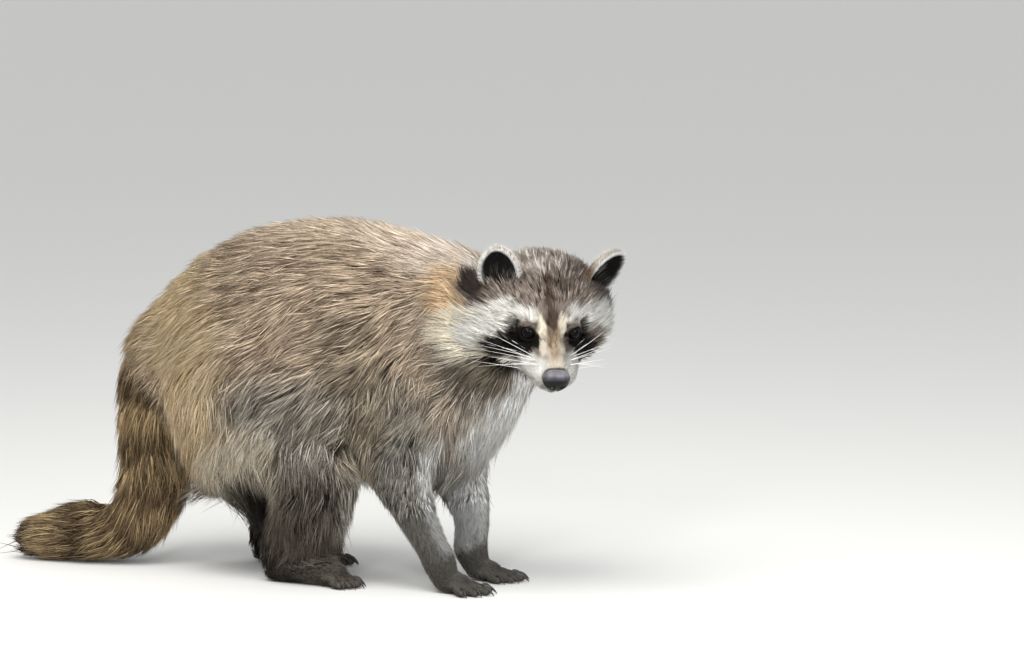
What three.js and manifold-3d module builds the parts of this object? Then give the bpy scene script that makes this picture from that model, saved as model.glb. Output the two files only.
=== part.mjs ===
// A life-size still model of an adult common raccoon (Procyon lotor). It stands with its back
// arched and its head turned to its right and lowered. Its tail hangs to the floor and trails behind it.
// Millimetres. +X is the way the trunk points, +Y the animal's left, +Z up, and the soles are at Z = 0.
// The solids reach to the tips of the coat. The body is one smooth form, parted with thin cuts.
import * as THREE from 'three';
import { mergeVertices } from 'three/addons/utils/BufferGeometryUtils.js';
import Module from 'manifold-3d';

const wasm = await Module();
wasm.setup();

// ---------------------------------------------------------------- driving dimensions
const GAP = 0.3; // left open at every cut, so that neighbours never share material
const ORIGIN_SHIFT = [12.5, 0.3]; // brings the middle of the model's box over the origin

const EYE_SPACING = 40; // centre to centre of the eyeballs
const EYE_RADIUS = 7.5;
const EYE_TURN = 22; // degrees outward
const HEAD_AT = [255.7, -49.2, 247]; // the point midway between the eyes
const HEAD_YAW = THREE.MathUtils.degToRad(-51); // from the trunk's direction, to the animal's right
const HEAD_PITCH = THREE.MathUtils.degToRad(30); // nose down
const HEAD_ROLL = THREE.MathUtils.degToRad(-1.5);

const HIND_FOOT_RIGHT = [-36, -52]; // heel
const HIND_FOOT_LEFT = [-108, 50];
const FORE_FOOT_RIGHT = [138, -42]; // wrist
const FORE_FOOT_LEFT = [129, 38];

// ---------------------------------------------------------------- forms of flesh and coat
const at = (x, y, z) => new THREE.Vector3(x, y, z);
const LEFT = at(0, 1, 0);
const STEPS_PER_STATION = 3;

// One form is a rod of flesh with a round section, under a coat of its own depth. Its stations are
// [x, y, z, radius of the flesh, depth of the coat], joined by a smooth curve. squeeze narrows the
// section along side, and blend is how far the form melts into its neighbours.
const forms = [];
function form(stations, { blend = 14, side = LEFT, squeeze = 1 } = {}) {
  const steps = (stations.length - 1) * STEPS_PER_STATION;
  const rings = Array.from({ length: steps + 1 }, (_, n) => between(stations, n / STEPS_PER_STATION));
  const bounds = new THREE.Box3();
  for (const [x, y, z, radius, coat] of rings) {
    const reach = radius + coat;
    bounds.union(new THREE.Box3(at(x - reach, y - reach, z - reach), at(x + reach, y + reach, z + reach)));
  }
  forms.push({ rings, blend, side, squeeze, bounds });
}

// A hollow is a ball pressed softly into the forms: [x, y, z, radius].
const hollows = [];
const HOLLOW_BLEND = 6;

// The station at a place along the row, such as 1.5, by a Catmull-Rom curve through all its numbers.
function between(stations, place) {
  const last = stations.length - 1;
  const i = Math.min(Math.floor(place), last - 1);
  const t = place - i;
  const [a, b, c, d] = [i - 1, i, i + 1, i + 2].map((n) => stations[THREE.MathUtils.clamp(n, 0, last)]);
  return b.map((_, n) => {
    const bend = 2 * a[n] - 5 * b[n] + 4 * c[n] - d[n];
    const twist = 3 * (b[n] - c[n]) + d[n] - a[n];
    return b[n] + 0.5 * t * (c[n] - a[n] + t * (bend + t * twist));
  });
}

// Signed distance from a point to one stretch of a form, from ring a to ring b.
function stretchDistance(a, b, { side, squeeze }, p) {
  const along = [b[0] - a[0], b[1] - a[1], b[2] - a[2]];
  const offset = [p.x - a[0], p.y - a[1], p.z - a[2]];
  const span = along[0] ** 2 + along[1] ** 2 + along[2] ** 2;
  const dot = along[0] * offset[0] + along[1] * offset[1] + along[2] * offset[2];
  const share = THREE.MathUtils.clamp(dot / Math.max(span, 1e-9), 0, 1);
  const away = offset.map((v, n) => v - share * along[n]);
  const sideways = away[0] * side.x + away[1] * side.y + away[2] * side.z;
  const rest = Math.max(away[0] ** 2 + away[1] ** 2 + away[2] ** 2 - sideways ** 2, 0);
  const reach = Math.sqrt(rest + (sideways / squeeze) ** 2) + 1e-6;
  const slope = Math.sqrt(rest + (sideways / squeeze ** 2) ** 2 + 1e-9) / reach;
  const [radius, coat] = [3, 4].map((n) => a[n] + share * (b[n] - a[n]));
  return (reach - radius) / slope - coat;
}

// Signed distance to the tips of the coat, negative inside.
function coatDistance(p) {
  let nearest = 1e6;
  for (const one of forms) {
    if (one.bounds.distanceToPoint(p) > nearest + one.blend) continue;
    let d = 1e6;
    for (let n = 1; n < one.rings.length; n++) {
      d = Math.min(d, stretchDistance(one.rings[n - 1], one.rings[n], one, p));
    }
    const mix = Math.max(one.blend - Math.abs(nearest - d), 0) / one.blend;
    nearest = Math.min(nearest, d) - (mix * mix * one.blend) / 4;
  }
  for (const [x, y, z, radius] of hollows) {
    const d = radius - Math.hypot(p.x - x, p.y - y, p.z - z);
    const mix = Math.max(HOLLOW_BLEND - Math.abs(nearest - d), 0) / HOLLOW_BLEND;
    nearest = Math.max(nearest, d) + (mix * mix * HOLLOW_BLEND) / 4;
  }
  return nearest;
}

// ---------------------------------------------------------------- trunk and neck
const TRUNK = [
  [-110, 0, 208, 56, 26],
  [-64, 0, 216, 82, 25],
  [-12, 0, 219, 95, 24],
  [38, 0, 222, 91, 24],
  [80, 0, 220, 79, 24],
  [114, 0, 224, 63, 24],
];
const NECK = [
  [108, 0, 240, 43, 24],
  [150, -2, 243, 35, 22],
  [194, -6, 250, 29, 18],
];
const BRISKET = [
  [173, -8, 216, 22, 15],
  [148, -2, 172, 23, 18],
  [124, 0, 136, 21, 19],
];
form(TRUNK, { blend: 30, squeeze: 0.8 });
form(NECK, { blend: 40 });
form(BRISKET, { blend: 40 });

// ---------------------------------------------------------------- legs
function hindLeg([heelX, heelY], hipX) {
  const out = Math.sign(heelY);
  const thigh = [
    [hipX, out * 40, 186, 46, 22],
    [hipX + 40, out * 50, 150, 36, 18],
    [heelX + 58, heelY + out * 6, 112, 22, 16],
  ];
  const breeches = [
    [hipX - 34, out * 36, 172, 38, 24],
    [hipX - 26, out * 46, 122, 26, 26],
  ];
  const shank = [
    [heelX + 58, heelY + out * 6, 108, 18, 16],
    [heelX + 40, heelY + out * 3, 70, 17, 15],
    [heelX + 14, heelY, 36, 13, 8],
  ];
  // Long hair that hangs from the knee over the front of the foot.
  const fringe = [
    [heelX + 54, heelY + out * 5, 104, 16, 22],
    [heelX + 48, heelY + out * 4, 70, 12, 27],
    [heelX + 44, heelY + out * 3, 48, 9, 26],
  ];
  const sole = [
    [heelX + 9, heelY, 12, 11, 4],
    [heelX + 44, heelY + out * 2, 15, 11, 5],
    [heelX + 74, heelY + out * 5, 10, 10, 3],
  ];
  form(thigh, { blend: 22, squeeze: 0.75 });
  form(breeches, { blend: 36, squeeze: 0.75 });
  form(shank, { blend: 20 });
  form(fringe, { blend: 12, squeeze: 0.75 });
  form(sole, { blend: 12 });
}

function foreLeg([wristX, wristY], elbowX) {
  const out = Math.sign(wristY);
  const upperArm = [
    [104, out * 40, 188, 36, 18],
    [elbowX + 4, wristY + out * 9, 146, 24, 14],
    [elbowX + 2, wristY + out * 6, 110, 17, 10],
  ];
  const forearm = [
    [elbowX + 2, wristY + out * 6, 108, 16, 10],
    [elbowX + 20, wristY + out * 3, 66, 13, 6],
    [wristX, wristY, 30, 11, 4],
  ];
  const palm = [
    [wristX, wristY, 28, 11, 3],
    [wristX + 9, wristY, 11, 10, 3],
    [wristX + 22, wristY, 8, 9, 2],
  ];
  form(upperArm, { blend: 20, squeeze: 0.8 });
  form(forearm, { blend: 16 });
  form(palm, { blend: 8 });
}

hindLeg(HIND_FOOT_RIGHT, -52);
hindLeg(HIND_FOOT_LEFT, -70);
foreLeg(FORE_FOOT_RIGHT, 98);
foreLeg(FORE_FOOT_LEFT, 108);

// ---------------------------------------------------------------- tail
const TAIL = [
  [-142, 0, 226, 20, 22],
  [-178, 0, 206, 18, 22],
  [-190, 0, 162, 15, 24],
  [-187, -3, 114, 13, 25],
  [-187, -8, 72, 12, 25],
  [-208, -18, 38, 11, 24],
  [-254, -30, 30, 9, 23],
  [-302, -38, 21, 5, 18],
];
form(TAIL, { blend: 14 });

// ---------------------------------------------------------------- head
const headFrame = new THREE.Matrix4()
  .makeTranslation(...HEAD_AT)
  .multiply(new THREE.Matrix4().makeRotationZ(HEAD_YAW))
  .multiply(new THREE.Matrix4().makeRotationY(HEAD_PITCH))
  .multiply(new THREE.Matrix4().makeRotationX(HEAD_ROLL));
// A point on the head: how far ahead of the eyes, to the left and above.
const onHead = (ahead, left, up) => at(ahead, left, up).applyMatrix4(headFrame);
const headSide = LEFT.clone().transformDirection(headFrame);
function headForm(stations, options) {
  const placed = stations.map(([ahead, left, up, ...rest]) => [...onHead(ahead, left, up), ...rest]);
  form(placed, { blend: 12, side: headSide, ...options });
}

const BRAINCASE = [
  [-66, 0, 0, 24, 14],
  [-48, 0, 4, 31, 12],
  [-26, 0, 6, 26, 8],
  [-11, 0, 3, 17, 5],
];
const BRIDGE = [
  [-10, 0, 0, 14, 4],
  [12, 0, -9, 11, 3],
  [40, 0, -19, 9, 3],
];
const JAW = [
  [-46, 0, -24, 20, 14],
  [-8, 0, -29, 15, 6],
  [30, 0, -34, 7, 3],
];
headForm(BRAINCASE, { squeeze: 1.15 });
headForm(BRIDGE, {});
headForm(JAW, { blend: 16, squeeze: 1.15 });
for (const side of [-1, 1]) {
  const cheek = [
    [-52, side * 28, -8, 20, 20],
    [-36, side * 33, -14, 17, 16],
    [-14, side * 24, -21, 11, 8],
  ];
  const brow = [
    [-26, side * 26, 14, 10, 7],
    [-8, side * 17, 10, 6, 4],
  ];
  const whiskerPad = [
    [6, side * 11, -22, 11, 3],
    [32, side * 10, -25, 8, 3],
  ];
  headForm(cheek, { blend: 18 });
  headForm(brow, { blend: 10 });
  headForm(whiskerPad, { blend: 8 });
  hollows.push([...onHead(22, side * 32, 2), 20]);
}

// ---------------------------------------------------------------- skinning the forms
// Surface nets over a grid of cells, each corner then moved onto the true surface.
function skinOver(box, cell) {
  const size = box.getSize(at(0, 0, 0));
  const count = size.toArray().map((length) => Math.ceil(length / cell) + 1);
  const [nx, ny, nz] = count;
  const index = (i, j, k) => i + nx * (j + ny * k);
  const corner = (i, j, k) => at(i, j, k).multiplyScalar(cell).add(box.min);
  const values = new Float32Array(nx * ny * nz);
  const onRim = (i, n) => i === 0 || i === n - 1;
  for (let k = 0; k < nz; k++)
    for (let j = 0; j < ny; j++)
      for (let i = 0; i < nx; i++) {
        const rim = onRim(i, nx) || onRim(j, ny) || onRim(k, nz);
        const d = coatDistance(corner(i, j, k));
        values[index(i, j, k)] = rim ? Math.max(d, cell / 2) : d;
      }
  return netOf(values, [nx, ny, nz], index, corner, cell);
}

const CELL_CORNERS = [0, 1, 2, 3, 4, 5, 6, 7].map((n) => [n & 1, (n >> 1) & 1, (n >> 2) & 1]);
const CELL_EDGES = [];
for (let a = 0; a < 8; a++) for (const bit of [1, 2, 4]) if (!(a & bit)) CELL_EDGES.push([a, a | bit]);
// The four corners round each face of a cell.
const CELL_FACES = [];
for (const [u, v, w] of [[1, 2, 4], [2, 4, 1], [4, 1, 2]])
  for (const base of [0, w]) CELL_FACES.push([base, base | u, base | u | v, base | v]);
const edgeNumber = (a, b) => CELL_EDGES.findIndex(([p, q]) => p === Math.min(a, b) && q === Math.max(a, b));

// Sorts a cell's crossed edges into the separate sheets of surface that pass through it.
function sheetsOf(inside) {
  const sheet = CELL_EDGES.map(([a, b], n) => (inside[a] === inside[b] ? -1 : n));
  const join = (m, n) => {
    const [from, to] = [sheet[m], sheet[n]];
    sheet.forEach((value, e) => value === from && (sheet[e] = to));
  };
  for (const face of CELL_FACES) {
    const sides = face.map((a, n) => edgeNumber(a, face[(n + 1) % 4]));
    const crossed = sides.filter((e) => sheet[e] >= 0);
    if (crossed.length === 2) join(crossed[0], crossed[1]);
    if (crossed.length === 4) face.forEach((a, n) => inside[a] && join(sides[n], sides[(n + 3) % 4]));
  }
  return sheet;
}

function netOf(values, [nx, ny, nz], index, corner, cell) {
  const vertexOf = new Map();
  const points = [];
  for (let k = 0; k < nz - 1; k++)
    for (let j = 0; j < ny - 1; j++)
      for (let i = 0; i < nx - 1; i++) {
        const d = CELL_CORNERS.map(([a, b, c]) => values[index(i + a, j + b, k + c)]);
        const inside = d.map((value) => value < 0);
        if (inside.every((v) => v === inside[0])) continue;
        const sheet = sheetsOf(inside);
        for (const one of new Set(sheet.filter((n) => n >= 0))) {
          const middle = at(0, 0, 0);
          const edges = CELL_EDGES.filter((_, n) => sheet[n] === one);
          for (const [a, b] of edges) {
            const [from, to] = [CELL_CORNERS[a], CELL_CORNERS[b]].map((c) => at(...c));
            middle.add(from.lerp(to, d[a] / (d[a] - d[b])));
          }
          middle.divideScalar(edges.length).multiplyScalar(cell).add(corner(i, j, k));
          sheet.forEach((n, e) => n === one && vertexOf.set(index(i, j, k) * 12 + e, points.length));
          points.push(ontoSurface(middle, cell));
        }
      }
  const faces = [];
  for (let k = 0; k < nz - 1; k++)
    for (let j = 0; j < ny - 1; j++)
      for (let i = 0; i < nx - 1; i++)
        [1, 2, 4].forEach((bit, axis) => {
          const [a, b, c] = CELL_CORNERS[bit];
          const here = values[index(i, j, k)] < 0;
          if (here === values[index(i + a, j + b, k + c)] < 0) return;
          const [u, v] = [[1, 2, 4][(axis + 1) % 3], [1, 2, 4][(axis + 2) % 3]];
          const ring = [0, u, u | v, v].map((back) => {
            const [m, n, o] = CELL_CORNERS[back];
            return vertexOf.get(index(i - m, j - n, k - o) * 12 + edgeNumber(back, back | bit));
          });
          const [p, q, r, s] = here ? ring : ring.reverse();
          faces.push(p, q, r, p, r, s);
        });
  const geometry = new THREE.BufferGeometry().setFromPoints(points);
  geometry.setIndex(faces);
  return geometry;
}

function ontoSurface(p, cell) {
  const start = p.clone();
  const e = 0.05;
  for (let step = 0; step < 3; step++) {
    const d = coatDistance(p);
    const slope = at(
      coatDistance(p.clone().add(at(e, 0, 0))) - d,
      coatDistance(p.clone().add(at(0, e, 0))) - d,
      coatDistance(p.clone().add(at(0, 0, e))) - d,
    ).divideScalar(e);
    p.addScaledVector(slope, -d / Math.max(slope.lengthSq(), 0.3));
  }
  return p.distanceTo(start) < 0.6 * cell ? p : start;
}

// ---------------------------------------------------------------- joining and cutting
function solidOf(geometry) {
  const bare = geometry.clone().deleteAttribute('normal').deleteAttribute('uv');
  const merged = mergeVertices(bare, 1e-4);
  return new wasm.Manifold(
    new wasm.Mesh({
      numProp: 3,
      vertProperties: new Float32Array(merged.attributes.position.array),
      triVerts: new Uint32Array(merged.index.array),
    }),
  );
}

function geometryOf(solid) {
  const mesh = solid.getMesh();
  const geometry = new THREE.BufferGeometry();
  geometry.setAttribute('position', new THREE.BufferAttribute(mesh.vertProperties, 3));
  geometry.setIndex(new THREE.BufferAttribute(mesh.triVerts, 1));
  const flat = geometry.toNonIndexed();
  flat.computeVertexNormals();
  return flat;
}

// ---------------------------------------------------------------- digits and claws
const UP = at(0, 0, 1);

// A rod through rings of [x, y, z, radius], closed at both ends.
function rod(rings, sides) {
  const points = [];
  const faces = [];
  rings.forEach(([x, y, z, radius], n) => {
    const before = rings[Math.max(n - 1, 0)];
    const after = rings[Math.min(n + 1, rings.length - 1)];
    const along = at(...after.slice(0, 3)).sub(at(...before.slice(0, 3))).normalize();
    const across = along.clone().cross(UP).normalize();
    const over = across.clone().cross(along);
    for (let s = 0; s < sides; s++) {
      const turn = (2 * Math.PI * s) / sides;
      const spoke = across.clone().multiplyScalar(radius * Math.cos(turn));
      points.push(at(x, y, z).add(spoke).addScaledVector(over, radius * Math.sin(turn)));
      const [here, next] = [n * sides + s, n * sides + ((s + 1) % sides)];
      if (n + 1 < rings.length) faces.push(here, here + sides, next + sides, here, next + sides, next);
    }
  });
  const lastRing = (rings.length - 1) * sides;
  for (let s = 1; s + 1 < sides; s++) {
    faces.push(0, s, s + 1);
    faces.push(lastRing, lastRing + s + 1, lastRing + s);
  }
  const geometry = new THREE.BufferGeometry().setFromPoints(points);
  geometry.setIndex(faces);
  return solidOf(geometry);
}

// One digit with its claw, from the knuckle at [x, y, z] towards heading, in degrees from +X.
function digit([x, y, z], heading, length, radius, clawLength) {
  const [ahead, aside] = [Math.cos(heading), Math.sin(heading)];
  const ring = (reach, height, thickness) => [x + reach * ahead, y + reach * aside, height, thickness];
  const finger = rod(
    [
      ring(-0.15 * length, z, radius),
      ring(0.5 * length, z, radius),
      ring(length, radius * 0.8, radius * 0.7),
    ],
    5,
  );
  const claw = rod(
    [
      ring(0.86 * length, radius + 0.6, radius * 0.42),
      ring(length + clawLength, 1, 0.6),
    ],
    4,
  );
  return finger.add(claw);
}

// Five digits fan out from the front of a paw. spread is the angle between neighbours.
function digits([x, y, z], { lengths, radius, spread, apart, turn, claw }) {
  return lengths.map((length, n) => {
    const place = n - 2;
    const heading = THREE.MathUtils.degToRad(turn + place * spread);
    const knuckle = [x - Math.abs(place) * apart * 0.35, y + place * apart, z];
    return digit(knuckle, heading, length, radius, claw);
  });
}

// ---------------------------------------------------------------- blocks that part the body
// Each part is what its block holds of the body, less the blocks before it.
function block(low, high, matrix = new THREE.Matrix4()) {
  const size = high.map((value, n) => value - low[n]);
  const middle = high.map((value, n) => (value + low[n]) / 2);
  const shape = (grow) => {
    const geometry = new THREE.BoxGeometry(...size.map((value) => value + 2 * grow));
    return geometry.translate(...middle).applyMatrix4(matrix);
  };
  const exact = shape(0);
  exact.computeBoundingBox();
  return { solid: solidOf(exact), grown: solidOf(shape(GAP)), box: exact.boundingBox };
}

const cutOut = [];
const FLOOR = block([-1000, -1000, -200], [1000, 1000, 0]).solid;

// The largest single piece of a solid, so that a cut leaves no crumbs.
function largest(solid) {
  return solid.decompose().sort((a, b) => b.volume() - a.volume())[0];
}

function cutPart(part, cell, extras = []) {
  const box = part.box.clone().expandByScalar(2 * cell);
  let solid = solidOf(skinOver(box, cell)).intersect(part.solid);
  for (const extra of extras) solid = solid.add(extra);
  for (const other of cutOut) solid = solid.subtract(other);
  cutOut.push(part.grown);
  return largest(solid.subtract(FLOOR));
}

// ---------------------------------------------------------------- eyes, nose and ears
// A round form with three half-widths, narrowed towards its top by taper.
function egg([depth, width, height], matrix, { grow = 0, taper = 0, across = 10, down = 6 } = {}) {
  const geometry = new THREE.SphereGeometry(1, across, down);
  geometry.rotateX(Math.PI / 2);
  const point = at(0, 0, 0);
  const places = geometry.attributes.position;
  for (let n = 0; n < places.count; n++) {
    point.fromBufferAttribute(places, n);
    const narrow = 1 - taper * point.z;
    const stretch = at(depth + grow, (width + grow) * narrow, height + grow);
    places.setXYZ(n, ...point.multiply(stretch).toArray());
  }
  return solidOf(geometry.applyMatrix4(matrix));
}

function onHeadTurned([ahead, left, up], [roll, pitch, yaw]) {
  const angles = [roll, pitch, yaw].map(THREE.MathUtils.degToRad);
  const turn = new THREE.Matrix4().makeRotationFromEuler(new THREE.Euler(...angles, 'ZYX'));
  return headFrame.clone().multiply(new THREE.Matrix4().makeTranslation(ahead, left, up)).multiply(turn);
}

const NOSE_SIZE = [9, 12.5, 10.5];
const eyeShape = (side, grow) => {
  const place = onHeadTurned([0, (side * EYE_SPACING) / 2, 0], [0, 0, side * EYE_TURN]);
  return egg([EYE_RADIUS, EYE_RADIUS, EYE_RADIUS], place, { grow });
};
const noseShape = (grow) => {
  const place = onHeadTurned([44, 0, -21], [0, 10, 0]);
  return egg(NOSE_SIZE, place, { grow, taper: -0.12 });
};

// The right ear faces forward; the left one is laid out to its side.
const EARS = [
  { name: 'ear_right', at: [-44, -43, 35], turn: [12, -8, -30] },
  { name: 'ear_left', at: [-44, 54, 35], turn: [-56, -8, 26] },
];
const EAR_SIZE = [10, 21, 25];
const EAR_WALL = 3;
const EAR_TAPER = 0.18;
const EAR_CUP_AHEAD = 7; // how far the cup's middle lies in front of the ear's own
function earShape({ at: place, turn }, grow) {
  return egg(EAR_SIZE, onHeadTurned(place, turn), { grow, taper: EAR_TAPER, across: 10, down: 8 });
}
function earCup(ear) {
  const forward = new THREE.Matrix4().makeTranslation(EAR_CUP_AHEAD, 0, 0);
  const inner = onHeadTurned(ear.at, ear.turn).multiply(forward);
  const [depth, width, height] = EAR_SIZE;
  const hollow = [depth + 2, width - EAR_WALL, height - EAR_WALL];
  return earShape(ear, 0).subtract(egg(hollow, inner, { taper: EAR_TAPER, across: 10, down: 8 }));
}

// ---------------------------------------------------------------- model
const raccoon = new THREE.Group();
raccoon.name = 'raccoon';
function add(name, solid, color, roughness) {
  const geometry = geometryOf(solid).translate(...ORIGIN_SHIFT, 0);
  const mesh = new THREE.Mesh(geometry, new THREE.MeshStandardMaterial({ color, roughness, metalness: 0 }));
  mesh.name = name;
  raccoon.add(mesh);
}

const GRIZZLED = 0x8b7d6b;
const TAN = 0xa98c62;
const GREY = 0x7d766c;
const DARK = 0x4a4038;
const EAR_GREY = 0x6b6660;
const NOSE_BLACK = 0x1f1d20;
const EYE_BLACK = 0x0d0b0a;
const FUR_ROUGHNESS = 0.9;
const WET_NOSE_ROUGHNESS = 0.4;
const EYE_ROUGHNESS = 0.1;

const COMB = {
  fore: { lengths: [19, 25, 27, 25, 20], radius: 4.4, spread: 15, apart: 5.2, claw: 8 },
  hind: { lengths: [17, 21, 22, 20, 16], radius: 4.8, spread: 9, apart: 5.4, claw: 8 },
};
const TAIL_FRONT = -146; // the tail hangs behind this
const BELOW_SOLES = -6;
const HIND_CUTS = { ankle: 30, knee: 88, hip: 168 }; // heights of the cuts across a hind leg
const FORE_CUTS = { wrist: 24, elbow: 92, shoulder: 168 };
const LEG_CELLS = { foot: 12, shank: 18, thigh: 24, paw: 10, forearm: 14, arm: 21 };
const TRUNK_CELL = 30;
const NECK_CELL = 22;
const HEAD_CELL = 11;
const LEGS = [
  { side: 'right', out: -1, hind: HIND_FOOT_RIGHT, fore: FORE_FOOT_RIGHT, turn: -6 },
  { side: 'left', out: 1, hind: HIND_FOOT_LEFT, fore: FORE_FOOT_LEFT, turn: 10 },
];
for (const { side, out, hind, fore, turn } of LEGS) {
  const [heelX, heelY] = hind;
  const [wristX, wristY] = fore;
  // A block from x to x and from z to z, reaching sideways from near the middle plane to far off it.
  const slab = (x, [near, far], z) => {
    const y = out > 0 ? [near, far] : [-far, -near];
    return block([x[0], y[0], z[0]], [x[1], y[1], z[1]]);
  };
  const toes = digits([heelX + 76, heelY + out * 5, 8], { ...COMB.hind, turn });
  const fingers = digits([wristX + 24, wristY, 7], { ...COMB.fore, turn });
  const thighBack = Math.max(heelX - 74, TAIL_FRONT);
  const { ankle, knee, hip } = HIND_CUTS;
  const { wrist, elbow, shoulder } = FORE_CUTS;
  const { foot, shank, thigh, paw, forearm, arm } = LEG_CELLS;
  const lengths = [
    ['hind_foot', slab([heelX - 20, heelX + 124], [8, 100], [BELOW_SOLES, ankle]), foot, DARK, toes],
    ['shank', slab([heelX - 40, heelX + 104], [8, 110], [ankle, knee]), shank, GREY],
    ['thigh', slab([thighBack, heelX + 110], [22, 130], [knee, hip]), thigh, GREY],
    ['forepaw', slab([wristX - 30, wristX + 70], [4, 80], [BELOW_SOLES, wrist]), paw, DARK, fingers],
    ['forearm', slab([wristX - 90, wristX + 40], [4, 80], [wrist, elbow]), forearm, GREY],
    ['upper_arm', slab([66, 158], [16, 100], [elbow, shoulder]), arm, GREY],
  ];
  for (const [name, part, cell, color, claws] of lengths) {
    add(`${name}_${side}`, cutPart(part, cell, claws), color, FUR_ROUGHNESS);
  }
}

const TAIL_CUTS = [
  { name: 'tail_tip', low: [-350, -100, BELOW_SOLES], high: [-258, 30, 80], cell: 17 },
  { name: 'tail_bend', low: [-258, -100, BELOW_SOLES], high: [TAIL_FRONT, 45, 66], cell: 19 },
  { name: 'tail_middle', low: [-240, -60, 66], high: [TAIL_FRONT, 45, 128], cell: 19 },
  { name: 'tail_base', low: [-250, -60, 128], high: [-158, 60, 250], cell: 21 },
];
for (const { name, low, high, cell } of TAIL_CUTS) {
  add(name, cutPart(block(low, high), cell), TAN, FUR_ROUGHNESS);
}

const headBlock = block([-64, -90, -48], [90, 90, 90], headFrame);
let head = cutPart(headBlock, HEAD_CELL);
for (const side of [-1, 1]) head = head.subtract(eyeShape(side, GAP));
for (const ear of EARS) head = head.subtract(earShape(ear, GAP));
add('head', largest(head.subtract(noseShape(GAP))), GREY, FUR_ROUGHNESS);
add('nose', noseShape(0), NOSE_BLACK, WET_NOSE_ROUGHNESS);
add('eye_right', eyeShape(-1, 0), EYE_BLACK, EYE_ROUGHNESS);
add('eye_left', eyeShape(1, 0), EYE_BLACK, EYE_ROUGHNESS);
for (const ear of EARS) add(ear.name, largest(earCup(ear)), EAR_GREY, FUR_ROUGHNESS);

let neck = cutPart(block([132, -110, 196], [250, 70, 340]), NECK_CELL);
for (const ear of EARS) neck = neck.subtract(earShape(ear, GAP));
add('neck', largest(neck), GRIZZLED, FUR_ROUGHNESS);

const restOfBody = block([-260, -170, 60], [260, 130, 350]);
add('trunk', cutPart(restOfBody, TRUNK_CELL), GRIZZLED, FUR_ROUGHNESS);

export default raccoon;
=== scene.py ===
"""A life-size still model of an adult common raccoon: its hide, coat, eyes, nose, claws and whiskers.

Lengths are millimetres in the animal's own frame, +X the way the trunk points, +Y its left and +Z up,
and turn into metres where a mesh is made. Head places are (ahead, left, up) of the point between the eyes.
"""
import math

import bpy
import numpy as np
from mathutils import Matrix, Vector


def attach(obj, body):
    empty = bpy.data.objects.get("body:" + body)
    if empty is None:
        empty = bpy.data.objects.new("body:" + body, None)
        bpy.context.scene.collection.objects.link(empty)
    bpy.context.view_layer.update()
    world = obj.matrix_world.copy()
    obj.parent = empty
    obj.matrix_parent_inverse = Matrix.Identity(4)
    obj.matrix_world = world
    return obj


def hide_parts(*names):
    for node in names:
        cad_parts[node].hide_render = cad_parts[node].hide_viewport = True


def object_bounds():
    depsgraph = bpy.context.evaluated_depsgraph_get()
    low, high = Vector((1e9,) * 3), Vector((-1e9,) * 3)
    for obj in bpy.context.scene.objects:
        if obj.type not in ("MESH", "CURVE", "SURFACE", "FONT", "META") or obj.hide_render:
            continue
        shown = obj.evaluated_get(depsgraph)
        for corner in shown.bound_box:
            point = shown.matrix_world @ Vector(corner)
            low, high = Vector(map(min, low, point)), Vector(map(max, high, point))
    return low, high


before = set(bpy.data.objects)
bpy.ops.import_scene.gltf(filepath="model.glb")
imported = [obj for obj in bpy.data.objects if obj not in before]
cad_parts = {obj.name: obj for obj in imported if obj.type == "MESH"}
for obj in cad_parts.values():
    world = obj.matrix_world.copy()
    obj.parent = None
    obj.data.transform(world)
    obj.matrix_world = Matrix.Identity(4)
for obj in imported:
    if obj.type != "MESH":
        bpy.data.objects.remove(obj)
cad_low, cad_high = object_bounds()

# ---------------------------------------------------------------- the flesh
# Flesh and bone fill the hide out from inside. Each form is a rod of flesh with a round section under a coat
# of its own depth, and all of them melt together. Stations are [x, y, z, radius of the flesh, coat depth].
MM = 0.001
ORIGIN_SHIFT = np.array([12.5, 0.3, 0.0])
LEFT = np.array([0.0, 1.0, 0.0])
STEPS_PER_STATION = 3
FAR = 1e6
forms = []


def length_of(rows):
    return np.linalg.norm(rows, axis=1)


def between(stations, place):
    """The station at a place along the row, such as 1.5, by a Catmull-Rom curve through all its numbers."""
    last = len(stations) - 1
    i = min(int(place), last - 1)
    t = place - i
    a, b, c, d = (stations[min(max(n, 0), last)] for n in (i - 1, i, i + 1, i + 2))
    return b + 0.5 * t * (c - a + t * (2 * a - 5 * b + 4 * c - d + t * (3 * (b - c) + d - a)))


def form(zone, stations, blend=14, side=LEFT, squeeze=1.0, lie=(1, 0, 0)):
    """Adds a rod of flesh. lie says which way its hair lies: along the stations, backward and down."""
    stations = np.array(stations, float)
    steps = (len(stations) - 1) * STEPS_PER_STATION
    rings = np.array([between(stations, n / STEPS_PER_STATION) for n in range(steps + 1)])
    reach = (rings[:, 3] + rings[:, 4])[:, None]
    forms.append({
        "zone": zone, "starts": rings[:-1], "steps": np.diff(rings, axis=0),
        "blend": blend, "side": side, "squeeze": squeeze, "lie": lie,
        "low": (rings[:, :3] - reach).min(0), "high": (rings[:, :3] + reach).max(0),
    })


form("trunk", [
    [-110, 0, 208, 56, 26], [-64, 0, 216, 82, 25], [-12, 0, 219, 95, 24],
    [38, 0, 222, 91, 24], [80, 0, 220, 79, 24], [114, 0, 224, 63, 24],
], blend=30, squeeze=0.8, lie=(0, 1, 0.75))
form("neck", [
    [108, 0, 240, 43, 24], [150, -2, 243, 35, 22], [194, -6, 250, 29, 18],
], blend=40, lie=(-1, 0, 0.55))
form("chest", [
    [173, -8, 216, 22, 15], [148, -2, 172, 23, 18], [124, 0, 136, 21, 19],
], blend=40, lie=(1, 0.1, 0.5))

HIND_FOOT_RIGHT = (-36, -52)
HIND_FOOT_LEFT = (-108, 50)
FORE_FOOT_RIGHT = (138, -42)
FORE_FOOT_LEFT = (129, 38)


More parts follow.
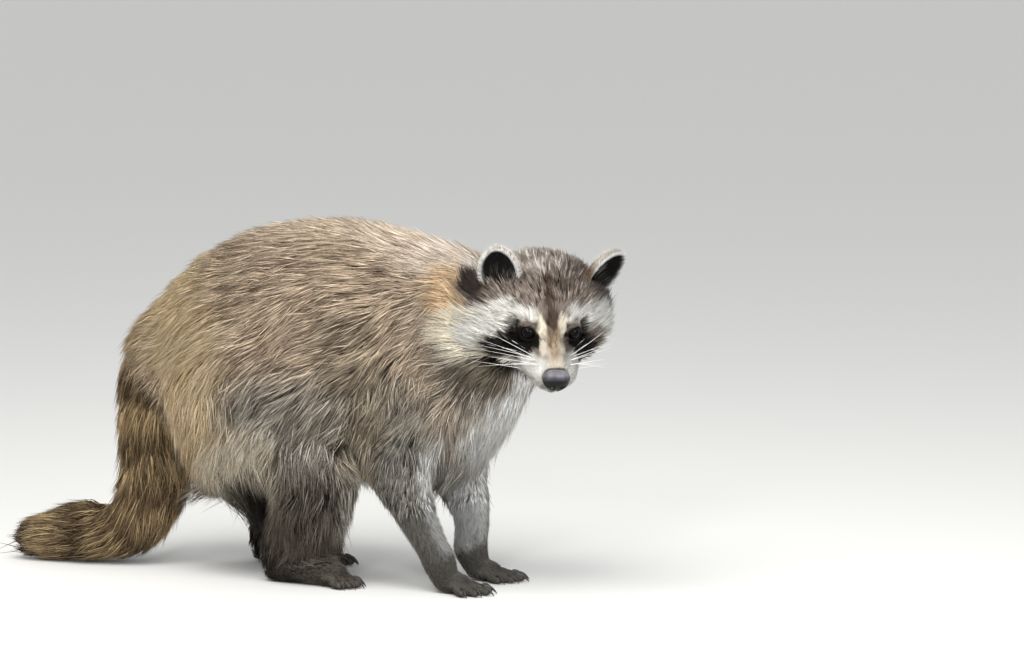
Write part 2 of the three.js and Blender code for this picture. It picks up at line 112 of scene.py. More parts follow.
def hind_leg(x, y, hip_x):
    """Thigh, breeches, shank, the fringe down its front, and sole of a leg whose heel is at x, y."""
    out = math.copysign(1, y)
    form("thigh", [
        [hip_x, out * 40, 186, 46, 22], [hip_x + 40, out * 50, 150, 36, 18],
        [x + 58, y + out * 6, 112, 22, 16],
    ], blend=22, squeeze=0.75, lie=(0.3, 0.35, 1))
    form("thigh", [
        [hip_x - 34, out * 36, 172, 38, 24], [hip_x - 26, out * 46, 122, 26, 26],
    ], blend=36, squeeze=0.75, lie=(0.4, 0.3, 1))
    form("shank", [
        [x + 58, y + out * 6, 108, 18, 16], [x + 40, y + out * 3, 70, 17, 15], [x + 14, y, 36, 13, 8],
    ], blend=20, lie=(0.8, 0, 0.4))
    form("shank", [
        [x + 54, y + out * 5, 104, 16, 22], [x + 48, y + out * 4, 70, 12, 27],
        [x + 44, y + out * 3, 48, 9, 26],
    ], blend=12, squeeze=0.75, lie=(1, 0, 0.6))
    form("hind_foot", [
        [x + 9, y, 12, 11, 4], [x + 44, y + out * 2, 15, 11, 5], [x + 74, y + out * 5, 10, 10, 3],
    ], blend=12)


def fore_leg(x, y, elbow_x):
    """Upper arm, forearm and palm of a leg whose wrist is at x, y."""
    out = math.copysign(1, y)
    form("upper_arm", [
        [104, out * 40, 188, 36, 18], [elbow_x + 4, y + out * 9, 146, 24, 14],
        [elbow_x + 2, y + out * 6, 110, 17, 10],
    ], blend=20, squeeze=0.8, lie=(0.7, 0.5, 0.6))
    form("forearm", [
        [elbow_x + 2, y + out * 6, 108, 16, 10], [elbow_x + 20, y + out * 3, 66, 13, 6], [x, y, 30, 11, 4],
    ], blend=16, lie=(1, 0.2, 0))
    form("forepaw", [[x, y, 28, 11, 3], [x + 9, y, 11, 10, 3], [x + 22, y, 8, 9, 2]], blend=8)


hind_leg(*HIND_FOOT_RIGHT, -52)
hind_leg(*HIND_FOOT_LEFT, -70)
fore_leg(*FORE_FOOT_RIGHT, 98)
fore_leg(*FORE_FOOT_LEFT, 108)

TAIL = [
    [-142, 0, 226, 20, 22], [-178, 0, 206, 18, 22], [-190, 0, 162, 15, 24], [-187, -3, 114, 13, 25],
    [-187, -8, 72, 12, 25], [-208, -18, 38, 11, 24], [-254, -30, 30, 9, 23], [-302, -38, 21, 5, 18],
]
form("tail", TAIL)

HEAD_AT = np.array([255.7, -49.2, 247.0])


def turned(roll, pitch, yaw):
    """The matrix that rolls about X, then pitches about Y, then yaws about Z, in degrees."""
    matrix = np.eye(3)
    for angle, (u, v) in ((yaw, (0, 1)), (pitch, (2, 0)), (roll, (1, 2))):
        turn = np.eye(3)
        cos, sin = math.cos(math.radians(angle)), math.sin(math.radians(angle))
        turn[u, u] = turn[v, v] = cos
        turn[u, v], turn[v, u] = -sin, sin
        matrix = matrix @ turn
    return matrix


HEAD_TURN = turned(-1.5, 30, -51)


def on_head(place):
    return HEAD_AT + np.asarray(place, float) @ HEAD_TURN.T


def to_head(points):
    return (points - HEAD_AT) @ HEAD_TURN


def head_form(stations, blend=12, squeeze=1.0, down=0):
    placed = [[*on_head(station[:3]), *station[3:]] for station in stations]
    form("head", placed, blend=blend, side=HEAD_TURN[:, 1], squeeze=squeeze, lie=(-1, 0, down))


# Braincase, bridge and jaw, then a cheek, a brow and a whisker pad on each side.
head_form([[-66, 0, 0, 24, 14], [-48, 0, 4, 31, 12], [-26, 0, 6, 26, 8], [-11, 0, 3, 17, 5]], squeeze=1.15)
head_form([[-10, 0, 0, 14, 4], [12, 0, -9, 11, 3], [40, 0, -19, 9, 3]])
head_form([[-46, 0, -24, 20, 14], [-8, 0, -29, 15, 6], [30, 0, -34, 7, 3]], blend=16, squeeze=1.15, down=0.3)
for s in (-1, 1):
    head_form([
        [-52, s * 28, -8, 20, 20], [-36, s * 33, -14, 17, 16], [-14, s * 24, -21, 11, 8],
    ], blend=18, down=0.25)
    head_form([[-26, s * 26, 14, 10, 7], [-8, s * 17, 10, 6, 4]], blend=10)
    head_form([[6, s * 14, -24, 12, 4], [31, s * 11, -25, 8, 3.5]], blend=8, down=0.2)

# The digits: lengths from thumb side to little finger, spread in degrees between neighbours.
COMB = {
    "forepaw": {"lengths": (19, 25, 27, 25, 20), "radius": 4.4, "spread": 15, "apart": 5.2},
    "hind_foot": {"lengths": (17, 21, 22, 20, 16), "radius": 4.8, "spread": 9, "apart": 5.4},
}
SHORT_FUR = 0.8
SET_BACK = 0.35
digits = []
for kind, (x, y), turn in (
    ("hind_foot", HIND_FOOT_RIGHT, -6),
    ("hind_foot", HIND_FOOT_LEFT, 10),
    ("forepaw", FORE_FOOT_RIGHT, -6),
    ("forepaw", FORE_FOOT_LEFT, 10),
):
    comb = COMB[kind]
    radius = comb["radius"]
    ahead, aside, height = (76, math.copysign(5, y), 8) if kind == "hind_foot" else (24, 0, 7)
    for n, length in enumerate(comb["lengths"]):
        place = n - 2
        heading = math.radians(turn + place * comb["spread"])
        apart = place * comb["apart"]
        start = np.array([x + ahead - abs(apart) * SET_BACK, y + aside + apart, 0])
        point = np.array([math.cos(heading), math.sin(heading), 0])
        knuckles = (
            (-0.3, height, 0.9), (0.25, height + 0.8, 0.72), (0.55, radius * 1.12, 0.86),
            (0.8, radius * 0.9, 0.7), (1, radius * 0.85, 0.66),
        )
        form(kind, [
            [*(start + along * length * point + [0, 0, up]), radius * thick, SHORT_FUR]
            for along, up, thick in knuckles
        ], blend=2.5)
        digits.append({
            "paw": kind + ("_right" if y < 0 else "_left"),
            "tip": start + length * point, "point": point, "length": length, "radius": radius,
        })


def cores(one, points):
    """Each point's distance to the flesh of each stretch of a form, and the coat's depth and place there."""
    starts, steps = one["starts"], one["steps"]
    a, along = starts[:, :3], steps[:, :3]
    span = np.maximum((along ** 2).sum(1), 1e-9)
    dot = points @ along.T - (a * along).sum(1)
    share = np.clip(dot / span, 0, 1)
    away = (points ** 2).sum(1)[:, None] - 2 * points @ a.T + (a ** 2).sum(1)
    away = away - share * (2 * dot - share * span)
    sideways = (points @ one["side"])[:, None] - a @ one["side"] - share * (along @ one["side"])
    rest = np.maximum(away - sideways ** 2, 0)
    reach = np.sqrt(rest + (sideways / one["squeeze"]) ** 2) + 1e-6
    slope = np.sqrt(rest + (sideways / one["squeeze"] ** 2) ** 2 + 1e-9) / reach
    radius = starts[:, 3] + share * steps[:, 3]
    coat = starts[:, 4] + share * steps[:, 4]
    return (reach - radius) / slope, coat, share


def box_gap(low, high, points):
    """How far each point lies outside a box."""
    outside = np.maximum(np.maximum(low - points, points - high), 0)
    return np.sqrt((outside ** 2).sum(1))


def melt(one, other, blend):
    """The smooth lesser of two distances."""
    mix = np.maximum(blend - np.abs(one - other), 0) / blend
    return np.minimum(one, other) - mix * mix * blend / 4


def press(one, other, blend):
    """The smooth greater of two distances."""
    return -melt(-one, -other, blend)


BATCH = 30000


def in_batches(reach):
    """The same distance, worked out for a batch of points at a time to save memory."""
    def batched(points):
        parts = [reach(points[n:n + BATCH]) for n in range(0, len(points), BATCH)]
        return np.concatenate(parts) if parts else np.zeros(0)
    return batched


EYE_SPACING = 40
EYE_RADIUS = 7.5
EYE_TURN = 22
SOCKET = (22, 32, 2)
SOCKET_RADIUS = 20
SOCKET_BLEND = 6


def forms_gap(points, coated):
    """Signed distance to the melted forms, out to the flesh or, where coated, to the tips of the coat."""
    nearest = np.full(len(points), FAR)
    for one in forms:
        close = np.flatnonzero(box_gap(one["low"], one["high"], points) < nearest + one["blend"])
        if len(close):
            core, coat, _ = cores(one, points[close])
            nearest[close] = melt(nearest[close], (core - coated * coat).min(1), one["blend"])
    return nearest


def press_sockets(nearest, points, extra):
    """Presses the sockets of the eyes into a distance, larger by extra."""
    for s in (-1, 1):
        middle = on_head([SOCKET[0], s * SOCKET[1], SOCKET[2]])
        nearest = press(nearest, SOCKET_RADIUS + extra - length_of(points - middle), SOCKET_BLEND)
    return nearest


@in_batches
def coat_reach(points):
    """Signed distance to the tips of the coat, negative inside."""
    return press_sockets(forms_gap(points, True), points, 0)


# ---------------------------------------------------------------- the hide
# One hide over the whole animal, lips, lids, ears and paws included, with no seam. It lies under the coat
# by the coat's depth. Its bare places are the black rims of the lids, the lips, the soles and the ears' cups.
EARS = {
    "right": {"at": (-44, -43, 35), "turn": (12, -8, -30)},
    "left": {"at": (-44, 54, 35), "turn": (-56, 2, 34)},
}
EAR_SIZE = np.array([8.4, 19.2, 23.2])
EAR_CUP = np.array([10.6, 17.9, 21.8])
EAR_CUP_AHEAD = 6.2
EAR_TAPER = 0.1
EAR_EDGE_BLEND = 1.0
EAR_MELT = 7.0
CUP_CLEAR = 0.6
CUP_BLEND = 1.5


def ear_frame(ear):
    """The ear's own place and turn: its cup opens towards its X, and its tip is up its Z."""
    return on_head(ear["at"]), HEAD_TURN @ turned(*ear["turn"])


def egg_gap(points, size, taper):
    """Signed distance to an egg about the origin, narrowed towards its top by taper."""
    narrow = 1 - taper * np.clip(points[:, 2] / size[2], -1, 1)
    scaled = points / (size * np.stack([np.ones_like(narrow), narrow, np.ones_like(narrow)], 1))
    reach = length_of(scaled) + 1e-9
    slope = length_of(scaled / size) / reach + 1e-9
    return (reach - 1) / slope


def ear_gaps(points, ear):
    """Signed distances to an ear's outer egg and to its cup, and the points in the ear's own frame."""
    middle, turn = ear_frame(ear)
    own = (points - middle) @ turn
    return egg_gap(own, EAR_SIZE, EAR_TAPER), egg_gap(own - [EAR_CUP_AHEAD, 0, 0], EAR_CUP, EAR_TAPER), own


# Lids: a thin skin over each eyeball with an almond opening, its inner corner drawn down towards the nose.
LID_MOUND = 8.7
LID_MELT = 7.0
LID_OPENING = (7.1, 5.6)
LID_TILT = 14
LID_FRONT = 2.0
LID_EDGE_BLEND = 0.8
GAZE_UP = 12


def eye_frame(side):
    """The middle of an eyeball and its turn: X along the gaze and Z up, tilted as the lids are."""
    turn = HEAD_TURN @ turned(0, -GAZE_UP, side * EYE_TURN) @ turned(side * LID_TILT, 0, 0)
    return on_head([0, side * EYE_SPACING / 2, 0]), turn


def lid_gap(own):
    """Signed distance to the almond between the lids, in an eye's own frame: two circles that cross."""
    half, tall = LID_OPENING
    radius = (half ** 2 + tall ** 2) / (2 * tall)
    lower = np.hypot(own[:, 1], own[:, 2] + radius - tall) - radius
    upper = np.hypot(own[:, 1], own[:, 2] - radius + tall) - radius
    return np.maximum(np.maximum(lower, upper), LID_FRONT - own[:, 0])


def rods(points, stations):
    """For each rod between stations [x, y, z, radius]: the distance from its axis, and its radius there."""
    for one, other in zip(stations[:-1], stations[1:]):
        along = other - one
        spot = np.clip((points - one[:3]) @ along[:3] / (along[:3] @ along[:3]), 0, 1)
        yield length_of(points - one[:3] - spot[:, None] * along[:3]), one[3] + spot * along[3]


def rod_gap(points, stations):
    """Signed distance to the rods."""
    return np.min([away - radius for away, radius in rods(points, stations)], axis=0)


# The closed mouth: a furrow from under the nose, back along each side of the muzzle, in head places.
LIP_LINE = np.array([
    [45, 0, -31.5, 1.6], [38, 7, -33, 1.6], [24, 14, -34, 1.5], [8, 18.5, -31, 1.3], [-6, 22, -27, 0.9],
])
LIP_BLEND = 2.0
SOCKET_COAT = 3.4
HEAD_SPAN = 130


@in_batches
def hide_reach(points):
    """Signed distance to the hide, negative inside."""
    nearest = forms_gap(points, False)
    by_head = np.flatnonzero(length_of(points - HEAD_AT) < HEAD_SPAN)
    there = points[by_head]
    near = press_sockets(nearest[by_head], there, SOCKET_COAT)
    for ear in EARS.values():
        outer, cup, _ = ear_gaps(there, ear)
        near = melt(near, press(outer, -cup, EAR_EDGE_BLEND), EAR_MELT)
        near = press(near, -(cup + CUP_CLEAR), CUP_BLEND)
    for s in (-1, 1):
        middle, turn = eye_frame(s)
        own = (there - middle) @ turn
        near = press(melt(near, length_of(own) - LID_MOUND, LID_MELT), -lid_gap(own), LID_EDGE_BLEND)
    for s in (-1, 1):
        near = press(near, -rod_gap(to_head(there), LIP_LINE * [1, s, 1, 1]), LIP_BLEND)
    nearest[by_head] = near
    return np.maximum(nearest, -points[:, 2])


def slope_of(reach, points, nudge=0.05):
    """The gradient of a distance, and the distance itself."""
    here = reach(points)
    ahead = [reach(points + nudge * axis) - here for axis in np.eye(3)]
    return np.stack(ahead, 1) / nudge, here


def onto(reach, points, target=0.0, steps=3, limit=FAR):
    """Moves points along the gradient to where the distance is the target, and no further than the limit."""
    start = points
    for _ in range(steps):
        slope, here = slope_of(reach, points)
        points = points - slope * ((here - target) / np.maximum((slope ** 2).sum(1), 0.3))[:, None]
    return np.where((length_of(points - start) < limit)[:, None], points, start)


FINE_SPLIT = 4
COARSE_CELL = 5.0
FINE_BOXES = [(to_head, (-64, -80, -50), (62, 80, 66))]
for one in digits:
    FINE_BOXES.append((lambda p, tip=one["tip"]: p - tip, (-22, -12, -6), (10, 12, 20)))


def in_fine_place(points):
    """Whether each point lies where the hide needs fine cells: the face and ears, and the digits."""
    inside = np.zeros(len(points), bool)
    for own, low, high in FINE_BOXES:
        q = own(points)
        inside |= ((q > low) & (q < high)).all(1)
    return inside


def lattice(*axes):
    """Every combination of the numbers on three axes, one to a row."""
    return np.stack(np.meshgrid(*axes, indexing="ij"), -1).reshape(-1, 3)


def net_over(reach, low, high, cell, split, fine_place):
    """A mesh over a distance by surface nets, on cells that are split finer in fine places."""
    count = np.ceil((high - low) / cell).astype(int) + 1
    axes = np.eye(3, dtype=int)
    values = reach(low + lattice(*(np.arange(n) for n in count)) * cell).reshape(count)
    least = np.abs(values)
    for axis in range(3):
        last = least.shape[axis] - 1
        least = np.minimum(np.take(least, range(1, last + 1), axis), np.take(least, range(last), axis))
    fine = np.zeros(count - 1, bool)
    near = np.argwhere(least < 1.3 * cell)
    fine[tuple(near[fine_place(low + (near + 0.5) * cell)].T)] = True
    many = count * split
    owners, crossings, flips = [], [], []

    def note_edges(start, axis, length, from_value, to_value):
        """Keeps the crossed edges that run from start, in fine steps, with the four cells round each."""
        u, v = axes[[(axis + 1) % 3, (axis + 2) % 3]]
        ring, fines = [], []
        for back in (0 * u, u, u + v, v):
            small = start - back
            parent = small // split
            fines.append(fine[tuple(parent.T)])
            ring.append(np.where(fines[-1], np.ravel_multi_index(small.T, many) + fine.size,
                                 np.ravel_multi_index(parent.T, fine.shape)))
        keep = np.any(fines, axis=0) == (length == 1)
        places = start + (from_value / (from_value - to_value) * length)[:, None] * axes[axis]
        owners.append(np.stack(ring, 1)[keep])
        crossings.append((low + places * (cell / split))[keep])
        flips.append((from_value < 0)[keep])

    for axis in range(3):
        first = np.take(values, range(count[axis] - 1), axis)
        second = np.take(values, range(1, count[axis]), axis)
        crossed = np.argwhere((first < 0) != (second < 0))
        spots = tuple(crossed.T)
        note_edges(crossed * split, axis, split, first[spots], second[spots])

    spots = (np.argwhere(fine)[:, None] * split + lattice(*[np.arange(split + 1)] * 3)).reshape(-1, 3)
    keys = np.unique(np.ravel_multi_index(spots.T, many))
    spots = np.stack(np.unravel_index(keys, many), 1)
    values = reach(low + spots * (cell / split))
    for axis in range(3):
        partner = np.ravel_multi_index((spots + axes[axis]).T, many)
        place = np.minimum(np.searchsorted(keys, partner), len(keys) - 1)
        crossed = np.flatnonzero((keys[place] == partner) & ((values < 0) != (values[place] < 0)))
        note_edges(spots[crossed], axis, 1, values[crossed], values[place[crossed]])

    owners, crossings, flips = (np.concatenate(rows) for rows in (owners, crossings, flips))
    names, corner = np.unique(owners, return_inverse=True)
    corner = corner.reshape(owners.shape)
    points = np.stack([np.bincount(corner.ravel(), np.repeat(crossings[:, n], 4)) for n in range(3)], 1)
    points /= np.bincount(corner.ravel())[:, None]
    corner = np.where(flips[:, None], corner, corner[:, ::-1])
    twin = corner == np.roll(corner, -1, 1)
    halves = corner[twin.sum(1) == 1]
    triangles = halves[halves != np.roll(halves, -1, 1)].reshape(-1, 3)
    limit = np.where(names >= fine.size, cell / split, cell) * 0.6
    return onto(reach, points, limit=limit), corner[~twin.any(1)], triangles


ROOM = 15
low = (np.array(cad_low) / MM) - ORIGIN_SHIFT - ROOM
high = (np.array(cad_high) / MM) - ORIGIN_SHIFT + ROOM
hide_points, hide_quads, hide_triangles = net_over(
    hide_reach, low, high, COARSE_CELL, FINE_SPLIT, in_fine_place)


def mesh_object(name, points, faces):
    """A smooth mesh from points in millimetres, and an array of corner numbers for each kind of face."""
    mesh = bpy.data.meshes.new(name)
    faces = [rows for rows in faces if len(rows)]
    sides = np.concatenate([np.full(len(rows), rows.shape[1]) for rows in faces])
    corners = np.concatenate([rows.ravel() for rows in faces])
    mesh.vertices.add(len(points))
    mesh.vertices.foreach_set("co", ((points + ORIGIN_SHIFT) * MM).ravel())
    mesh.loops.add(len(corners))
    mesh.loops.foreach_set("vertex_index", corners)
    mesh.polygons.add(len(sides))
    mesh.polygons.foreach_set("loop_start", np.cumsum(sides) - sides)
    mesh.polygons.foreach_set("loop_total", sides)
    mesh.polygons.foreach_set("use_smooth", np.ones(len(sides), bool))
    mesh.update(calc_edges=True)
    made = bpy.data.objects.new(name, mesh)
    bpy.context.scene.collection.objects.link(made)
    return made


def paint(mesh, name, tones):
    """Gives each vertex its own linear colour, or its own number where tones holds one number a vertex."""
    kind, field = ("FLOAT", "value") if tones.ndim == 1 else ("FLOAT_COLOR", "color")
    if tones.ndim == 2:
        tones = np.concatenate([tones, np.ones((len(tones), 1))], 1)
    mesh.attributes.new(name, kind, "POINT").data.foreach_set(field, tones.astype(np.float32).ravel())


def linear(code):
    """The linear colour of an sRGB hex value."""
    channels = [int(code[n:n + 2], 16) / 255 for n in (1, 3, 5)]
    return np.array([c / 12.92 if c <= 0.04045 else ((c + 0.055) / 1.055) ** 2.4 for c in channels])


def wander(points, size, seed):
    """A smooth random number, mostly within -1..1, that changes over about this many millimetres."""
    rng = np.random.default_rng(seed)
    waves = rng.normal(size=(9, 3)) * 2.2 / size
    return np.sin(points @ waves.T + rng.uniform(0, 2 * math.pi, 9)).sum(1) / 2.6


# How the coat is marked. A zone's hair has one colour at its root and another at its tip.
ZONE_TONES = {
    "trunk": ("#523d2b", "#f5dfc3"),
    "neck": ("#4b3b2b", "#cfc0ab"),
    "chest": ("#443e39", "#c0bcb5"),
    "thigh": ("#241d17", "#a49b8d"),
    "shank": ("#1a1511", "#6a6156"),
    "hind_foot": ("#241f1a", "#6f675c"),
    "upper_arm": ("#2f2a25", "#9e988d"),
    "forearm": ("#3b3733", "#a19d96"),
    "forepaw": ("#2b2722", "#6f6a61"),
    "tail": ("#574630", "#bba27b"),
    "head": ("#30261d", "#9d8f83"),
}
ZONES = list(ZONE_TONES)

# A mark is a row of stations [x, y, z, radius], its tones at the root and the tip, how much of the radius it
# fades over, and its strength. mark takes body places, and face_mark takes head places.
marks = []


def mark(stations, root, tip, soft=1.0, share=1.0):
    marks.append((np.array(stations, float), linear(root), linear(tip), soft, share))


def face_mark(stations, *tones, **strength):
    stations = np.array(stations, float)
    mark(np.column_stack([on_head(stations[:, :3]), stations[:, 3]]), *tones, **strength)


def mark_share(points, stations, soft):
    """How much of a mark each point has, from 0 to 1."""
    nearest = np.min([away / radius for away, radius in rods(points, stations)], axis=0)
    fade = np.clip((1 + soft / 2 - nearest) / soft, 0, 1)
    return fade * fade * (3 - 2 * fade)


# The back: creamy withers, buff rump, grey-brown flanks that darken low down, and a pale fringe below.
mark([[50, 0, 334, 40], [110, -20, 314, 38], [144, -34, 302, 30]], "#b3a08a", "#fff6ea", share=0.9)
mark([[-30, 0, 335, 70], [50, 0, 335, 60]], "#7d6850", "#fae7cf", share=0.7)
for s in (-1, 1):
    mark([[-150, s * 20, 250, 54], [-120, s * 66, 200, 56], [-110, s * 80, 140, 50]], "#a58a5e", "#ffebc8")
    mark([[-20, s * 95, 150, 44], [60, s * 90, 150, 40]], "#221d18", "#bcb5aa", share=0.8)
    mark([[-40, s * 95, 110, 30], [-74, s * 88, 96, 26]], "#958872", "#f9eed9", share=0.9)
    mark([[54, s * 96, 225, 34], [80, s * 90, 160, 26], [76, s * 70, 110, 20]],
         "#524435", "#bcad95", share=0.7)
mark([[-40, 0, 120, 44], [70, 0, 120, 44]], "#352e27", "#a39b8e", soft=0.8, share=0.9)
# The hind legs are darkest behind, and the fringe down the shank is pale in front.
for x, y in (HIND_FOOT_RIGHT, HIND_FOOT_LEFT):
    mark([[x - 4, y, 56, 22], [x - 2, y, 14, 20], [x + 30, y, 6, 16]], "#0e0b09", "#332d26", soft=0.8)
    mark([[x + 50, y, 60, 20], [x + 52, y, 40, 18]], "#221c16", "#7b7064", soft=0.9, share=0.7)
    mark([[x + 92, y, 100, 12], [x + 82, y, 46, 12]], "#6d665b", "#e6e0d4", share=0.6)
# The breast is white. The forelegs are dark behind and pale in front; the left one is pale, painted whiter
# inside as painted light.
mark([[214, -10, 186, 18], [192, -14, 156, 22], [172, -14, 128, 24]],
     "#cfccc7", "#fffffd", soft=0.8, share=0.95)
for x, y in (FORE_FOOT_RIGHT, FORE_FOOT_LEFT):
    mark([[x - 30, y, 120, 20], [x - 12, y, 70, 12], [x - 6, y, 36, 9]], "#2b2723", "#8e8a83", share=0.7)
    mark([[108, 1.6 * y, 112, 26], [112, 1.6 * y, 84, 20]], "#2b2723", "#98938a", share=0.7)
# Painted light: the left foreleg's pale inner side is painted whiter than the right one's, so that this leg,
# which lies in shade, reads bright.
x, y = FORE_FOOT_LEFT
mark([[x + 8, y - 14, 136, 22], [x + 4, y - 12, 90, 20], [x - 2, y - 8, 44, 15]],
     "#a09d99", "#ffffff", share=0.9)
for (x, y), front, share in ((FORE_FOOT_RIGHT, -2, 0.6), (FORE_FOOT_LEFT, 13, 0.9)):
    mark([
        [x + front, y - 8, 122, 14], [x + front - 2, y - 8, 98, 13], [x + front + 3, y - 6, 72, 10],
        [x + 12, y - 3, 42, 8],
    ], "#94928e", "#f2f1ef", soft=1.2, share=share)

MASK = ("#0a0807", "#1a1512")
WHITE = ("#ccc7bc", "#f9f7f0")
STRIPE = ("#2a1f18", "#5f4e42")
face_mark([[-88, 0, -10, 36], [-84, 0, 20, 30]], "#4c4034", "#d3c5af", share=0.7)
# The neck behind the cheeks: tan, with a dark patch behind each ear and dark hair under the jaw. Over them
# come the long white ruff of the cheeks, the white brow, the cream beside the bridge, and the white muzzle.
for s in (-1, 1):
    face_mark([[-76, s * 88, 0, 24], [-60, s * 92, -8, 17]], "#957a5e", "#e4c8a0", share=0.9)
    face_mark([[-80, s * 61, 11, 11], [-68, s * 67, 9, 13], [-56, s * 62, 12, 11], [-48, s * 62, 5, 7]],
              "#100a06", "#2e231c", soft=0.6, share=0.98)
    face_mark([[-14, s * 52, -46, 16], [-14, s * 68, -58, 24], [-6, s * 50, -66, 18]],
              "#211c15", "#756b5b", soft=0.9, share=0.9)
    face_mark([[-34, s * 72, -8, 11], [-43, s * 88, -20, 13], [-38, s * 95, -31, 12], [-27, s * 82, -38, 13],
               [-19, s * 66, -38, 12]], "#d4c8ad", "#fff6e2", soft=0.7, share=0.97)
    face_mark([[-2, s * 15, 20, 4.8], [-6, s * 23, 19, 8], [-11, s * 36, 15, 10], [-22, s * 54, 5, 13],
               [-26, s * 68, -14, 15], [-26, s * 76, -30, 13]], *WHITE, soft=0.8)
    face_mark([[3, s * 9.5, 20, 4.4], [12, s * 10.5, 8, 4.4], [22, s * 11, -4, 5.6]],
              "#c3b8a0", "#fdf4df", soft=0.8)
    face_mark([[20, s * 18, -22, 12], [38, s * 10, -20, 13], [22, s * 14, -36, 14], [-16, s * 28, -46, 18]],
              *WHITE, soft=0.5)
# The top of the muzzle, a grey band behind the nose, the tan bridge, the pale crown and its dark stripe.
face_mark([[44, 0, -10, 10], [36, 0, -4, 10], [26, 0, 0, 8]], "#d0c5b0", "#f6ecdb", soft=0.9, share=0.85)
face_mark([[45, -9, -15, 4], [46, 0, -11, 4.6], [45, 9, -15, 4]], "#57524c", "#a19c93", soft=1.2, share=0.95)
face_mark([[28, 0, 0, 7], [18, 1, 5, 6.5], [8, 0, 17, 5]], "#7d6549", "#bfa687", share=0.8)
face_mark([[-64, 0, 40, 26], [-50, 0, 48, 20]], "#57483e", "#e2d9cf", share=0.6)
face_mark([[-28, -5, 44, 3.4], [-12, -4, 37, 4.8], [-1, -2, 29, 5.2], [8, 0, 18, 4.6]], *STRIPE, soft=0.9)
face_mark([[8, -1, 18, 4.0], [16, -1, 7, 3.6], [22, -1, 2, 2.8]], *STRIPE, share=0.6)
# The mask: black from the bridge over each eye to the cheek, longer on the right.
face_mark([[13, -14, 2, 5.5], [5, -21, -1, 9], [-1, -35, -16, 14.5],
           [-7, -46, -21, 13.5], [-12, -54, -18, 9]], *MASK, soft=0.3)
face_mark([[13, 14, 2, 5.5], [5, 21, -2, 8], [0, 30, -16, 13], [-6, 38, -21, 12]], *MASK, soft=0.3)

TAIL_RINGS = (58, 108, 156, 204, 250)
RING_HALF = 12
TAIL_TIP = 290
RING_TONES = (linear("#1a120b"), linear("#402f1b"))


def tones_of(points, weights, tail_place):
    """The root's and the tip's linear colour at each point of the hide."""
    tones = [weights @ np.array([linear(pair[end]) for pair in ZONE_TONES.values()]) for end in (0, 1)]
    loose = points + 2.2 * np.stack([wander(points, 9, seed) for seed in (3, 4, 5)], 1)
    for stations, root, tip, soft, share in marks:
        part = share * mark_share(loose, stations, soft)[:, None]
        tones = [now + part * (own - now) for now, own in zip(tones, (root, tip))]
    ring = sum(np.exp(-((tail_place - at) / RING_HALF) ** 2) for at in TAIL_RINGS)
    ring = np.maximum(ring, np.clip((tail_place - TAIL_TIP) / 10, 0, 1)) * weights[:, ZONES.index("tail")]
    ring = (ring * (0.86 + 0.12 * wander(points, 14, 6)))[:, None].clip(0, 1)
    return [now + ring * (own - now) for now, own in zip(tones, RING_TONES)]


def unit(rows, least=1e-6):
    return rows / (length_of(rows)[:, None] + least)


def off_normal(rows, normals, share=1):
    """The rows with what they have along the normals taken out, so that they lie along the hide."""
    return rows - (rows * normals).sum(1)[:, None] * normals * share


MIX_OVER = 7.0
FORM_REACH = 25


def growth(points, normals):
    """How hair grows at each place of the hide: zone weights, lie, nearest form and place on that form."""
    gaps = np.full((len(points), len(forms)), FAR)
    places = np.zeros((len(points), len(forms)))
    lies = np.zeros((len(points), len(forms), 3), np.float32)
    for n, one in enumerate(forms):
        close = np.flatnonzero(box_gap(one["low"], one["high"], points) < FORM_REACH)
        if len(close):
            core, _, share = cores(one, points[close])
            stretch = core.argmin(1)
            rows = np.arange(len(close))
            along, backward, down = one["lie"]
            gaps[close, n] = core[rows, stretch]
            places[close, n] = (stretch + share[rows, stretch]) / len(one["steps"])
            lies[close, n] = along * unit(one["steps"][:, :3], 0)[stretch] - [backward, 0, down]
    shares = np.exp(-(gaps - gaps.min(1)[:, None]) / MIX_OVER)
    shares /= shares.sum(1)[:, None]
    weights = np.zeros((len(points), len(ZONES)))
    for n, one in enumerate(forms):
        weights[:, ZONES.index(one["zone"])] += shares[:, n]
    lie = unit(off_normal((shares[:, :, None] * lies).sum(1), normals))
    nearest = gaps.argmin(1)
    return weights, lie, nearest, places[np.arange(len(points)), nearest]


tail_form = [one["zone"] for one in forms].index("tail")
TAIL_LENGTH = length_of(np.diff(np.array(TAIL)[:, :3], axis=0)).sum()


def tail_places(nearest, places):
    """How far down the tail each point is, in millimetres, or before its start for the rest of the body."""
    return np.where(nearest == tail_form, places * TAIL_LENGTH, -100)


def normals_at(reach, points):
    return unit(slope_of(reach, points)[0], 1e-9)


hide = mesh_object("hide", hide_points, [hide_quads, hide_triangles])
hide_normals = normals_at(hide_reach, hide_points)
hide_weights, _, hide_nearest, hide_places = growth(hide_points, hide_normals)
hide_depths = -coat_reach(hide_points)
shown_at = hide_points + hide_normals * np.clip(hide_depths, 0, 40)[:, None]
hide_roots, hide_tips = tones_of(shown_at, hide_weights, tail_places(hide_nearest, hide_places))


# ---------------------------------------------------------------- the eyes
# Glass eyes, as a museum fits them: a nearly black iris and a round pupil under a clear, bulging, wet front.
# Each sits behind its lids as deep as the living eye does, and both look the way that the head faces.
EYE_RINGS = 40
EYE_ROUND = 48
CORNEA_BULGE = 0.6
PUPIL_RADIUS = 2.7
IRIS_RADIUS = 5.7
EYE_TONES = {"pupil": "#010101", "iris": "#0e0805", "iris_rim": "#050302", "white": "#1c1612"}


